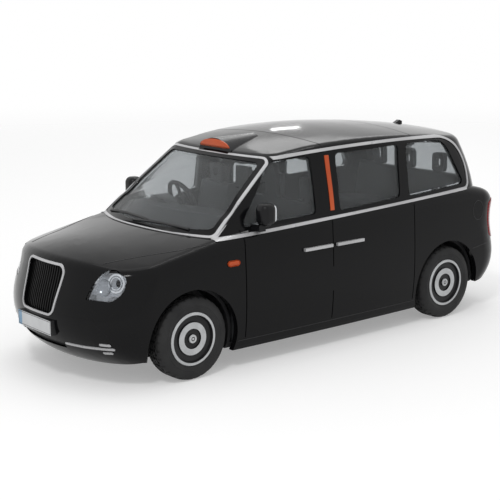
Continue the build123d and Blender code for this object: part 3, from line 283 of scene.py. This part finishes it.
def make_world():
    """White where it is seen or reflected, a calmer light on the model."""
    world = bpy.data.worlds.new("studio")
    bpy.context.scene.world = world
    world.use_nodes = True
    tree = world.node_tree
    tree.nodes.clear()
    output = tree.nodes.new("ShaderNodeOutputWorld")
    mix = tree.nodes.new("ShaderNodeMixShader")
    tree.links.new(seen_rays(tree), mix.inputs["Fac"])
    for socket, strength in zip(mix.inputs[1:], (SURROUND_LIGHT, 1.0)):
        white = tree.nodes.new("ShaderNodeBackground")
        white.inputs["Color"].default_value = (1, 1, 1, 1)
        white.inputs["Strength"].default_value = strength
        tree.links.new(white.outputs[0], socket)
    tree.links.new(mix.outputs[0], output.inputs["Surface"])


def new_material(name):
    material = bpy.data.materials.new(name)
    material.use_nodes = True
    tree = material.node_tree
    shader = tree.nodes["Principled BSDF"]
    coordinates = tree.nodes.new("ShaderNodeTexCoord")
    return material, tree, shader, coordinates


def axes(tree, vector):
    """The three numbers of a vector, by the names of their axes."""
    node = tree.nodes.new("ShaderNodeSeparateXYZ")
    tree.links.new(vector, node.inputs[0])
    return node.outputs


def noise(tree, coordinates, scale, detail=3.0, roughness=0.55):
    node = tree.nodes.new("ShaderNodeTexNoise")
    node.inputs["Scale"].default_value = scale
    node.inputs["Detail"].default_value = detail
    node.inputs["Roughness"].default_value = roughness
    tree.links.new(coordinates.outputs["Object"], node.inputs["Vector"])
    return node.outputs["Fac"]


def ramp(tree, source, stretch, low_colour, high_colour):
    """Colour that runs from one tone to the other over a stretch of its source."""
    node = tree.nodes.new("ShaderNodeValToRGB")
    for stop, position, colour in zip(node.color_ramp.elements, stretch, (low_colour, high_colour)):
        stop.position = position
        stop.color = (*colour, 1)
    tree.links.new(source, node.inputs["Fac"])
    return node.outputs["Color"]


def drift(tree, coordinates, scale, dark, light):
    """Colour that wanders between two tones over the surface."""
    return ramp(tree, noise(tree, coordinates, scale), DRIFT_STRETCH, dark, light)


def two_colours(tree, mask, first, second):
    mix = tree.nodes.new("ShaderNodeMix")
    mix.data_type = "RGBA"
    tree.links.new(mask, mix.inputs["Factor"])
    tree.links.new(first, mix.inputs[6])
    tree.links.new(second, mix.inputs[7])
    return mix.outputs[2]


def sheen(tree, shader, coordinates, low, high, scale=SHEEN_SCALE):
    """Give the surface a roughness that wanders between two values."""
    node = tree.nodes.new("ShaderNodeMapRange")
    node.inputs["From Min"].default_value, node.inputs["From Max"].default_value = SHEEN_STRETCH
    node.inputs["To Min"].default_value = low
    node.inputs["To Max"].default_value = high
    tree.links.new(noise(tree, coordinates, scale), node.inputs["Value"])
    tree.links.new(node.outputs["Result"], shader.inputs["Roughness"])


def bump(tree, shader, source, strength, distance=GRAIN_DEPTH):
    node = tree.nodes.new("ShaderNodeBump")
    node.inputs["Strength"].default_value = strength
    node.inputs["Distance"].default_value = distance
    tree.links.new(source, node.inputs["Height"])
    tree.links.new(node.outputs["Normal"], shader.inputs["Normal"])


def moulded(name, dark, light, rough, strength=0.3, metallic=0.0, specular=0.5):
    """Moulded or painted surface with a faint colour drift, uneven sheen and fine grain."""
    material, tree, shader, coordinates = new_material(name)
    tree.links.new(drift(tree, coordinates, DRIFT_SCALE, dark, light), shader.inputs["Base Color"])
    sheen(tree, shader, coordinates, *rough)
    shader.inputs["Metallic"].default_value = metallic
    shader.inputs["Specular IOR Level"].default_value = specular
    bump(tree, shader, noise(tree, coordinates, GRAIN_SCALE, GRAIN_DETAIL), strength)
    return material


def body_paint():
    """Deep black gloss with a trace of orange peel and dust."""
    material, tree, shader, coordinates = new_material("black_gloss_paint")
    dust = noise(tree, coordinates, DUST_SCALE, 2.0, 0.5)
    colour = ramp(tree, dust, DUST_STRETCH, (0.004, 0.004, 0.0045), (0.03, 0.03, 0.032))
    tree.links.new(colour, shader.inputs["Base Color"])
    sheen(tree, shader, coordinates, 0.07, 0.14, PAINT_SHEEN_SCALE)
    shader.inputs["Specular IOR Level"].default_value = 0.14
    bump(tree, shader, noise(tree, coordinates, PEEL_SCALE, 2.0), 0.05)
    return material


def wheel_cover():
    """Black wheel cover with silver rings printed round its centre."""
    material, tree, shader, coordinates = new_material("wheel_cover")
    at = axes(tree, coordinates.outputs["Object"])
    along = maths(tree, "SUBTRACT", maths(tree, "ABSOLUTE", at["Y"]), AXLE_Y)
    height = maths(tree, "SUBTRACT", at["Z"], AXLE_Z)
    squares = [maths(tree, "MULTIPLY", value, value) for value in (along, height)]
    radius = maths(tree, "SQRT", maths(tree, "ADD", *squares))
    outer_face = WHEEL_X + COVER_SHARE * TYRE_WIDTH / 2
    on_outside = maths(tree, "GREATER_THAN", maths(tree, "ABSOLUTE", at["X"]), outer_face)
    in_ring = 0.0
    for inner, outer in RINGS_MM:
        in_ring = maths(tree, "MAXIMUM", in_ring, between(tree, radius, inner * MM, outer * MM))
    printed = maths(tree, "MULTIPLY", in_ring, on_outside)
    black = drift(tree, coordinates, COVER_SCALE, (0.007, 0.007, 0.008), (0.014, 0.014, 0.015))
    silver = drift(tree, coordinates, RING_SCALE, (0.52, 0.53, 0.54), (0.62, 0.63, 0.64))
    tree.links.new(two_colours(tree, printed, black, silver), shader.inputs["Base Color"])
    sheen(tree, shader, coordinates, 0.30, 0.42)
    shader.inputs["Specular IOR Level"].default_value = 0.25
    bump(tree, shader, noise(tree, coordinates, GRAIN_SCALE, GRAIN_DETAIL), 0.25)
    return material


def number_plate(name, node, band_side):
    """Pale blank plate with a light blue band at one end, a thin grey border and black edges."""
    low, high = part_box(node)
    half_x, half_z = (high.x - low.x) / 2, (high.z - low.z) / 2
    material, tree, shader, coordinates = new_material(name)
    pale = drift(tree, coordinates, PLATE_SCALE, (0.56, 0.57, 0.58), (0.64, 0.65, 0.66))
    blue = drift(tree, coordinates, PLATE_SCALE, (0.16, 0.30, 0.45), (0.22, 0.37, 0.52))
    grey = drift(tree, coordinates, PLATE_SCALE, (0.06, 0.06, 0.065), (0.09, 0.09, 0.095))
    black = drift(tree, coordinates, PLATE_SCALE, (0.008, 0.008, 0.009), (0.014, 0.014, 0.015))
    at = axes(tree, coordinates.outputs["Object"])
    facing = axes(tree, coordinates.outputs["Normal"])
    to_band = maths(tree, "MULTIPLY", at["X"], band_side)
    band = maths(tree, "GREATER_THAN", to_band, half_x * (1 - 2 * BAND_SHARE))
    inset_x = maths(tree, "SUBTRACT", half_x, maths(tree, "ABSOLUTE", at["X"]))
    rise = maths(tree, "ABSOLUTE", maths(tree, "SUBTRACT", at["Z"], (low.z + high.z) / 2))
    inset = maths(tree, "MINIMUM", inset_x, maths(tree, "SUBTRACT", half_z, rise))
    border = between(tree, inset, BORDER_MM[0] * MM, BORDER_MM[1] * MM)
    on_edge = maths(tree, "LESS_THAN", maths(tree, "ABSOLUTE", facing["Y"]), PLATE_EDGE_BELOW)
    printed = two_colours(tree, border, two_colours(tree, band, pale, blue), grey)
    tree.links.new(two_colours(tree, on_edge, printed, black), shader.inputs["Base Color"])
    sheen(tree, shader, coordinates, 0.25, 0.38)
    bump(tree, shader, noise(tree, coordinates, GRAIN_SCALE), 0.15)
    return material


def clear_moulding(name, tint, rough, index, see_through):
    """Clear moulding: mostly see-through, with a sharp surface reflection and faint haze."""
    material, tree, shader, coordinates = new_material(name)
    shader.inputs["Base Color"].default_value = (*tint, 1)
    shader.inputs["Transmission Weight"].default_value = see_through
    shader.inputs["IOR"].default_value = index
    sheen(tree, shader, coordinates, rough, rough + HAZE_SPREAD, HAZE_SCALE)
    bump(tree, shader, noise(tree, coordinates, WAVINESS_SCALE, 2.0), 0.03)
    return material


def ribbed_lens():
    """Deep red lens with fine level ribs."""
    material, tree, shader, coordinates = new_material("red_lens")
    ribs = tree.nodes.new("ShaderNodeTexWave")
    ribs.bands_direction = "Z"
    ribs.inputs["Scale"].default_value = RIB_SCALE
    ribs.inputs["Distortion"].default_value = 0.0
    tree.links.new(coordinates.outputs["Object"], ribs.inputs["Vector"])
    colour = ramp(tree, ribs.outputs["Fac"], (0.1, 0.9), (0.13, 0.002, 0.003), (0.30, 0.006, 0.007))
    tree.links.new(colour, shader.inputs["Base Color"])
    sheen(tree, shader, coordinates, 0.12, 0.22)
    shader.inputs["Specular IOR Level"].default_value = 0.18
    bump(tree, shader, ribs.outputs["Fac"], 0.4, RIB_DEPTH)
    return material


def build_materials():
    """All finishes. A moulded one gets its darker and lighter colour, then its range of roughness."""
    return {
        "paint": body_paint(),
        "gloss_black": moulded(
            "gloss_black_plastic", (0.005, 0.005, 0.006), (0.010, 0.010, 0.011), (0.14, 0.24),
            strength=0.1, specular=0.2,
        ),
        "satin_black": moulded(
            "satin_black_plastic", (0.009, 0.009, 0.010), (0.018, 0.018, 0.019), (0.42, 0.58),
            specular=0.3,
        ),
        "interior": moulded(
            "grey_interior", (0.065, 0.067, 0.072), (0.10, 0.103, 0.11), (0.5, 0.68), strength=0.5,
        ),
        "interior_dark": moulded(
            "dark_interior", (0.030, 0.031, 0.034), (0.050, 0.052, 0.055), (0.5, 0.65), strength=0.5,
        ),
        "silver": moulded(
            "silver_print", (0.44, 0.44, 0.45), (0.54, 0.54, 0.55), (0.26, 0.38), metallic=0.35,
        ),
        "chrome": moulded(
            "plated_chrome", (0.42, 0.43, 0.45), (0.58, 0.60, 0.62), (0.12, 0.24),
            metallic=1.0, strength=0.1,
        ),
        "amber": moulded(
            "orange_print", (0.50, 0.075, 0.018), (0.62, 0.105, 0.028), (0.32, 0.44), specular=0.3,
        ),
        "red": ribbed_lens(),
        "front_plate": number_plate("front_plate_face", "front_plate", -1),
        "rear_plate": number_plate("rear_plate_face", "rear_plate", 1),
        "reflector": moulded(
            "lamp_reflector", (0.20, 0.21, 0.22), (0.34, 0.35, 0.37), (0.16, 0.28),
            metallic=1.0, strength=0.1,
        ),
        "grille_black": moulded(
            "grille_black", (0.004, 0.004, 0.004), (0.008, 0.008, 0.008), (0.35, 0.5), specular=0.12,
        ),
        "mirror": moulded(
            "mirror_face", (0.70, 0.72, 0.74), (0.78, 0.80, 0.82), (0.02, 0.05),
            metallic=1.0, strength=0.02,
        ),
        "steel": moulded(
            "drawn_steel", (0.42, 0.42, 0.43), (0.56, 0.56, 0.57), (0.25, 0.4), metallic=1.0,
        ),
        "tyre": moulded(
            "tyre_rubber", (0.018, 0.018, 0.019), (0.032, 0.032, 0.032), (0.6, 0.8),
            strength=0.6, specular=0.25,
        ),
        "wheel_cover": wheel_cover(),
        "glass": clear_moulding("clear_glazing", (0.60, 0.62, 0.63), 0.02, 1.12, 0.93),
        "lens": clear_moulding("lamp_lens", (0.90, 0.92, 0.94), 0.01, 1.25, 1.0),
    }


# Finish of each node
FINISHES = {
    "body_shell": "paint", "grille_insert": "grille_black", "lower_intake": "satin_black",
    "roof_sign": "gloss_black", "roof_fin": "gloss_black",
    "mirror_left": "gloss_black", "mirror_right": "gloss_black", "mirror_glasses": "mirror",
    "wipers": "satin_black", "base_plate": "satin_black",
    "side_trim_left": "silver", "side_trim_right": "silver", "screen_trim": "silver",
    "grille_frame": "silver", "bumper_strips": "silver", "door_handles": "silver",
    "side_repeaters": "amber", "pillar_stripes": "amber", "roof_sign_lens": "amber",
    "front_plate": "front_plate", "rear_plate": "rear_plate",
    "tail_lamp_left": "red", "tail_lamp_right": "red",
    "headlamp_lens_left": "lens", "headlamp_lens_right": "lens",
    "headlamp_reflector_left": "reflector", "headlamp_reflector_right": "reflector",
    "windscreen": "glass", "rear_window": "glass",
    "side_glazing_left": "glass", "side_glazing_right": "glass",
    "cabin_floor": "interior_dark", "partition": "interior_dark", "dashboard": "interior_dark",
    "steering_wheel": "interior_dark", "driver_seat": "interior", "rear_bench": "interior",
    "rear_headrests": "interior", "tip_up_seats": "interior",
    "front_axle_rod": "steel", "rear_axle_rod": "steel",
}
for end in ENDS:
    for side in SIDES:
        FINISHES[f"rim_{end}_{side}"] = "wheel_cover"
        FINISHES[f"tyre_{end}_{side}"] = "tyre"

# Nodes whose curved surfaces are shown by a merged copy: node, copy's name, body and material slot
SMOOTHED = (
    ("body_shell", "body_panels", "body", "body_paint"),
    ("roof_sign", "sign_housing", "body", "gloss_black"),
    ("mirror_left", "mirror_pod_left", "body", "black_plastic"),
    ("mirror_right", "mirror_pod_right", "body", "black_plastic"),
    ("rim_front_left", "wheel_cover_front_left", "front_axle", "rim_plastic"),
    ("rim_front_right", "wheel_cover_front_right", "front_axle", "rim_plastic"),
    ("rim_rear_left", "wheel_cover_rear_left", "rear_axle", "rim_plastic"),
    ("rim_rear_right", "wheel_cover_rear_right", "rear_axle", "rim_plastic"),
    ("rear_bench", "bench_cushions", "body", "grey_plastic"),
    ("driver_seat", "driver_seat_cushions", "body", "grey_plastic"),
)


def set_finish(piece, material):
    piece.data.materials.clear()
    piece.data.materials.append(material)


def make_active(piece):
    bpy.ops.object.select_all(action="DESELECT")
    piece.select_set(True)
    bpy.context.view_layer.objects.active = piece


def apply_modifier(piece, kind, **settings):
    make_active(piece)
    modifier = piece.modifiers.new(kind.lower(), kind)
    for key, value in settings.items():
        setattr(modifier, key, value)
    bpy.ops.object.modifier_apply(modifier=modifier.name)


def smooth_copy(node, name, body, slot):
    """A merged, smoothly shaded copy of a CAD node, which stands for it."""
    mesh = nodes[node].data.copy()
    piece = bpy.data.objects.new(name, mesh)
    bpy.context.scene.collection.objects.link(piece)
    make_active(piece)
    bpy.ops.object.mode_set(mode="EDIT")
    bpy.ops.mesh.select_all(action="SELECT")
    bpy.ops.mesh.remove_doubles(threshold=MERGE_WITHIN)
    bpy.ops.object.mode_set(mode="OBJECT")
    if mesh.has_custom_normals:
        bpy.ops.mesh.customdata_custom_splitnormals_clear()
    bpy.ops.object.shade_smooth_by_angle(angle=PANEL_SHARP)
    apply_modifier(piece, "WEIGHTED_NORMAL", keep_sharp=True)
    piece.select_set(False)
    set_finish(piece, materials[FINISHES[node]])
    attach(piece, body)
    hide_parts(node)
    return piece


def pick(piece, kind, test):
    """In edit mode, select what passes a test: of middle and normal for faces, of middle and edge for edges."""
    bpy.ops.mesh.select_mode(type=kind)
    bpy.ops.mesh.select_all(action="DESELECT")
    work = bmesh.from_edit_mesh(piece.data)
    if kind == "FACE":
        for face in work.faces:
            face.select_set(test(face.calc_center_median(), face.normal))
    else:
        for edge in work.edges:
            edge.select_set(test((edge.verts[0].co + edge.verts[1].co) / 2, edge))
        work.select_flush(True)
    bmesh.update_edit_mesh(piece.data)


def place(piece, location=(0, 0, 0), rotation=(0, 0, 0)):
    """Put a finished shape in its place and leave its object at the origin."""
    piece.location = location
    piece.rotation_euler = rotation
    make_active(piece)
    bpy.ops.object.transform_apply(location=True, rotation=True, scale=True)
    piece.select_set(False)


def own_copy(piece, name):
    twin = piece.copy()
    twin.data = piece.data.copy()
    twin.name = name
    bpy.context.scene.collection.objects.link(twin)
    return twin


def across_the_car(point, sign):
    return (sign * point[0], point[1], point[2])


def ring_at(x):
    """Test for the edges of the open ring at one face of the tyre."""
    def test(centre, edge):
        return edge.is_boundary and abs(centre.x - x) < ON_PLANE
    return test


def tread_over(groove):
    """Test for the faces of the tread over the groove at this distance across, in millimetres."""
    def test(centre, normal):
        return abs(centre.x - groove * MM) < GROOVE_REACH and centre.yz.length > GROOVE_FROM_R
    return test


def sipe_test(centre, normal):
    """Every few blocks of a tread rib or shoulder, staggered from rib to rib."""
    on_tread = centre.yz.length > SIPE_FROM_R and abs(normal.x) < SIDEWALL_FACING
    in_groove = any(abs(centre.x - groove * MM) < SIPE_CLEAR_OF_GROOVE for groove in TREAD_GROOVES_MM)
    rib = round(centre.x / RIB_PITCH)
    segment = round(math.atan2(centre.z, centre.y) / (2 * math.pi) * TREAD_SEGMENTS - 0.5)
    return on_tread and not in_groove and (segment + 2 * rib) % SIPE_EVERY == 0


def tyre_shape():
    """Tyre round the origin, turning about X, with a grooved tread and stepped sides."""
    bpy.ops.mesh.primitive_cylinder_add(
        vertices=TREAD_SEGMENTS, radius=TREAD_R, depth=2 * TREAD_HALF, end_fill_type="NOTHING",
        rotation=(0, math.pi / 2, 0),
    )
    piece = bpy.context.object
    piece.name = "tyre_tread"
    bpy.ops.object.transform_apply(location=True, rotation=True, scale=True)
    bpy.ops.object.mode_set(mode="EDIT")
    for cut in TREAD_CUTS_MM:
        bpy.ops.mesh.select_all(action="SELECT")
        bpy.ops.mesh.bisect(plane_co=(cut * MM, 0, 0), plane_no=(1, 0, 0))
    for side in (1, -1):
        x, radius = side * TREAD_HALF, TREAD_R
        for inset, next_radius in TYRE_STEPS_MM:
            next_x = side * (TYRE_WIDTH / 2 - inset * MM)
            pick(piece, "EDGE", ring_at(x))
            bpy.ops.mesh.extrude_region_move(TRANSFORM_OT_translate={"value": (next_x - x, 0, 0)})
            share = next_radius * MM / radius
            bpy.ops.transform.resize(value=(1, share, share), center_override=(0, 0, 0))
            x, radius = next_x, next_radius * MM
    pick(piece, "EDGE", lambda centre, edge: edge.is_boundary)
    bpy.ops.mesh.bridge_edge_loops()
    for groove in TREAD_GROOVES_MM:
        pick(piece, "FACE", tread_over(groove))
        bpy.ops.mesh.extrude_region_shrink_fatten(TRANSFORM_OT_shrink_fatten={"value": -GROOVE_DEPTH})
    pick(piece, "FACE", sipe_test)
    bpy.ops.mesh.extrude_region_shrink_fatten(TRANSFORM_OT_shrink_fatten={"value": -SIPE_DEPTH})
    bpy.ops.mesh.select_all(action="SELECT")
    bpy.ops.mesh.normals_make_consistent(inside=False)
    bpy.ops.object.mode_set(mode="OBJECT")
    bpy.ops.object.shade_smooth_by_angle(angle=TYRE_SHARP)
    return piece


def make_tyres():
    shape = tyre_shape()
    for end, end_sign in ENDS.items():
        for side, side_sign in SIDES.items():
            tyre = own_copy(shape, f"treaded_tyre_{end}_{side}")
            centre = (side_sign * WHEEL_X, end_sign * AXLE_Y, AXLE_Z)
            place(tyre, centre, (0, 0, 0 if side_sign > 0 else math.pi))
            set_finish(tyre, materials["tyre"])
            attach(tyre, f"{end}_axle")
            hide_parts(f"tyre_{end}_{side}")
    bpy.data.objects.remove(shape)


def lay_on(piece, target, at, turn, height):
    """Lay a flat shape on a surface along its own facing, thicken it and leave its object at the origin."""
    piece.matrix_world = Matrix.Translation(at) @ turn
    apply_modifier(
        piece, "SHRINKWRAP", target=target, wrap_method="PROJECT", use_project_z=True,
        use_negative_direction=True, use_positive_direction=False, offset=LAID_LIFT,
    )
    apply_modifier(piece, "SOLIDIFY", thickness=height * MM, offset=1.0)
    bpy.ops.object.transform_apply(location=True, rotation=True, scale=True)
    bpy.ops.object.shade_smooth_by_angle(angle=LAID_SHARP)
    piece.select_set(False)


def laid_bar(name, start, end, facing, width, height):
    """Flat bar with round ends between two points, laid on the panels."""
    along = (end - start) * MM
    along -= along.dot(facing) * facing
    length = along.length
    bpy.ops.mesh.primitive_circle_add(vertices=BAR_VERTICES, radius=width * MM / 2, fill_type="NGON")
    piece = bpy.context.object
    piece.name = name
    bpy.ops.object.mode_set(mode="EDIT")
    pick(piece, "EDGE", lambda centre, edge: centre.x > 0)
    bpy.ops.transform.translate(value=(length, 0, 0))
    for step in range(1, max(2, round(length / LAID_CUT))):
        bpy.ops.mesh.select_all(action="SELECT")
        bpy.ops.mesh.bisect(plane_co=(step * LAID_CUT, 0, 0), plane_no=(1, 0, 0))
    bpy.ops.object.mode_set(mode="OBJECT")
    across = facing.cross(along.normalized())
    turn = Matrix((along.normalized(), across, facing)).transposed().to_4x4()
    outside = start * MM - start.dot(facing) * facing * MM + facing * PANEL_START
    lay_on(piece, shell, outside, turn, height)
    return piece


def joined(pieces, name):
    make_active(pieces[0])
    for piece in pieces:
        piece.select_set(True)
    if len(pieces) > 1:
        bpy.ops.object.join()
    pieces[0].name = name
    pieces[0].select_set(False)
    return pieces[0]


def laid_line(name, runs, facing, width, height, finish, slot):
    """One piece of bars laid end to end along each run of points."""
    bars = []
    for points in runs:
        for start, end in zip(points, points[1:]):
            bars.append(laid_bar(name, Vector(start), Vector(end), Vector(facing), width, height))
    piece = joined(bars, name)
    set_finish(piece, materials[finish])
    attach(piece, "body")
    return piece


def flat_oval(name, half_width, half_height, open_share):
    """Flat oval in the plane of X and Y, with its middle left open if a share of it is given."""
    bpy.ops.mesh.primitive_circle_add(vertices=OVAL_VERTICES, radius=1, fill_type="NGON")
    piece = bpy.context.object
    piece.name = name
    bpy.ops.object.mode_set(mode="EDIT")
    bpy.ops.mesh.select_all(action="SELECT")
    bpy.ops.mesh.inset(thickness=1 - open_share)
    if open_share:
        bpy.ops.mesh.delete(type="FACE")
    bpy.ops.mesh.select_all(action="SELECT")
    bpy.ops.transform.resize(value=(half_width * MM, half_height * MM, 1), center_override=(0, 0, 0))
    bpy.ops.object.mode_set(mode="OBJECT")
    return piece


def make_panel_lines():
    """Dark lines of bonnet, sills, rear bumper and tailgate, and the outline of the charging flap."""
    look = (LINE_WIDTH_MM, LINE_HEIGHT_MM, "satin_black", "black_plastic")
    for side, sign in SIDES.items():
        for name, (facing, points) in PANEL_LINES.items():
            run = [across_the_car(point, sign) for point in points]
            laid_line(f"{name}_{side}", [run], across_the_car(facing, sign), *look)
    for name, (facing, points) in TAILGATE_LINES.items():
        laid_line(name, [points], facing, *look)
    flap = flat_oval("charging_flap_line", *FLAP_MM)
    side_turn = Matrix(((0, 1, 0), (0, 0, 1), (1, 0, 0))).transposed().to_4x4()
    lay_on(flap, shell, Vector(FLAP_AT_MM) * MM + Vector((OVAL_START, 0, 0)), side_turn, LINE_HEIGHT_MM)
    set_finish(flap, materials["satin_black"])
    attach(flap, "body")


def make_bumper_strips():
    """Rounded silver bars in place of the plain printed ones."""
    runs = [
        [across_the_car(point, sign) for point in run]
        for sign in SIDES.values() for run in BUMPER_STRIPS
    ]
    look = (STRIP_WIDTH_MM, STRIP_HEIGHT_MM, "silver", "trim_silver")
    strips = laid_line("rounded_bumper_strips", runs, (0, -1, 0), *look)
    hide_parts("bumper_strips")


def make_repeaters():
    """Round-ended orange lens on each wing."""
    lenses = []
    for sign in SIDES.values():
        bpy.ops.mesh.primitive_cube_add(size=1)
        lens = bpy.context.object
        lens.scale = Vector(REPEATER_MM) * MM
        bpy.ops.object.transform_apply(location=True, rotation=True, scale=True)
        bpy.ops.object.mode_set(mode="EDIT")
        pick(lens, "EDGE", lambda centre, edge: abs(centre.x) < ON_PLANE)
        bpy.ops.mesh.bevel(offset=REPEATER_END_SHARE * REPEATER_MM[2] * MM, segments=6)
        bpy.ops.object.mode_set(mode="OBJECT")
        place(lens, Vector(across_the_car(REPEATER_AT_MM, sign)) * MM)
        apply_modifier(
            lens, "BEVEL", width=REPEATER_BEVEL, segments=3,
            limit_method="ANGLE", angle_limit=REPEATER_BEVEL_ANGLE,
        )
        bpy.ops.object.shade_smooth_by_angle(angle=LENS_SHARP)
        lenses.append(lens)
    pair = joined(lenses, "rounded_repeaters")
    set_finish(pair, materials["amber"])
    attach(pair, "body")
    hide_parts("side_repeaters")


def make_projectors():
    """Two bright steps and a small dark projector laid on each headlamp's reflector."""
    for side, sign in SIDES.items():
        facing = Vector(across_the_car(LAMP_FACING, sign)).normalized()
        across = facing.cross(Vector((0, 0, 1))).normalized() * -sign
        turn = facing.to_track_quat("Z", "Y").to_matrix().to_4x4()
        bowl = Vector(across_the_car(BOWL_MM, sign)) * MM
        reflector = nodes[f"headlamp_reflector_{side}"]
        for name, oval, at, finish in (
            (f"lamp_rim_{side}", BOWL_RIM_MM, bowl, "chrome"),
            (f"lamp_step_{side}", BOWL_STEP_MM, bowl, "chrome"),
            (f"lamp_projector_{side}", PROJECTOR_MM, bowl + across * PROJECTOR_ACROSS, "gloss_black"),
        ):
            piece = flat_oval(name, *oval)
            lay_on(piece, reflector, at + facing * OVAL_START, turn, LAMP_RING_HEIGHT_MM)
            set_finish(piece, materials[finish])
            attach(piece, "body")


def sign_corner(centre, edge):
    """Test for the two short edges at the ends of the sign lens's flat side."""
    return abs(centre.x) > SIGN_LENS_END_FROM and max(abs(centre.y), abs(centre.z)) < SIGN_CORNER_WITHIN


def make_sign_lens():
    """Half oval lens with rounded corners on the front of the roof sign."""
    bpy.ops.mesh.primitive_cylinder_add(
        vertices=SIGN_LENS_VERTICES, radius=1, depth=SIGN_LENS_DEPTH, rotation=(math.pi / 2, 0, 0),
    )
    lens = bpy.context.object
    lens.name = "sign_lens"
    bpy.ops.object.transform_apply(location=True, rotation=True, scale=True)
    bpy.ops.object.mode_set(mode="EDIT")
    bpy.ops.mesh.select_all(action="SELECT")
    bpy.ops.mesh.bisect(plane_co=(0, 0, 0), plane_no=(0, 0, 1), use_fill=True, clear_inner=True)
    bpy.ops.mesh.select_all(action="SELECT")
    half_width, height = SIGN_LENS_MM
    bpy.ops.transform.resize(value=(half_width * MM, 1, height * MM), center_override=(0, 0, 0))
    pick(lens, "EDGE", sign_corner)
    bpy.ops.mesh.bevel(offset=SIGN_LENS_CORNER, segments=4)
    bpy.ops.object.mode_set(mode="OBJECT")
    place(lens, Vector(SIGN_LENS_AT_MM) * MM)
    apply_modifier(lens, "BEVEL", width=SIGN_LENS_BEVEL, segments=2, limit_method="ANGLE")
    bpy.ops.object.shade_smooth_by_angle(angle=LENS_SHARP)
    lens.select_set(False)
    set_finish(lens, materials["amber"])
    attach(lens, "body")
    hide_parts("roof_sign_lens")


def make_floor():
    """Matt floor that takes the shadow and fades out into the surround."""
    bpy.ops.mesh.primitive_plane_add(size=FLOOR_SIZE, location=(0, 0, 0))
    floor = bpy.context.object
    floor.name = "floor"
    floor.select_set(False)
    material, tree, shader, coordinates = new_material("pale_floor")
    shader.inputs["Base Color"].default_value = FLOOR_COLOUR
    shader.inputs["Roughness"].default_value = FLOOR_ROUGHNESS
    shader.inputs["Specular IOR Level"].default_value = 0.0
    shader.inputs["Emission Color"].default_value = (1, 1, 1, 1)
    tree.links.new(maths(tree, "MULTIPLY", seen_rays(tree), FLOOR_LIFT), shader.inputs["Emission Strength"])
    length = tree.nodes.new("ShaderNodeVectorMath")
    length.operation = "LENGTH"
    tree.links.new(coordinates.outputs["Object"], length.inputs[0])
    fade = tree.nodes.new("ShaderNodeMapRange")
    fade.interpolation_type = "SMOOTHSTEP"
    fade.inputs["From Min"].default_value = FLOOR_SOLID_TO
    fade.inputs["From Max"].default_value = FLOOR_GONE_AT
    tree.links.new(length.outputs["Value"], fade.inputs["Value"])
    clear = tree.nodes.new("ShaderNodeBsdfTransparent")
    mix = tree.nodes.new("ShaderNodeMixShader")
    tree.links.new(fade.outputs["Result"], mix.inputs["Fac"])
    tree.links.new(shader.outputs[0], mix.inputs[1])
    tree.links.new(clear.outputs[0], mix.inputs[2])
    tree.links.new(mix.outputs[0], tree.nodes["Material Output"].inputs["Surface"])
    set_finish(floor, material)


make_camera()
make_lamps()
make_world()
make_floor()
materials = build_materials()
for name, finish in FINISHES.items():
    set_finish(nodes[name], materials[finish])
copies = {row[0]: smooth_copy(*row) for row in SMOOTHED}
shell = copies["body_shell"]
make_tyres()
make_panel_lines()
make_bumper_strips()
make_repeaters()
make_projectors()
make_sign_lens()

bpy.context.scene.view_settings.view_transform = "Standard"
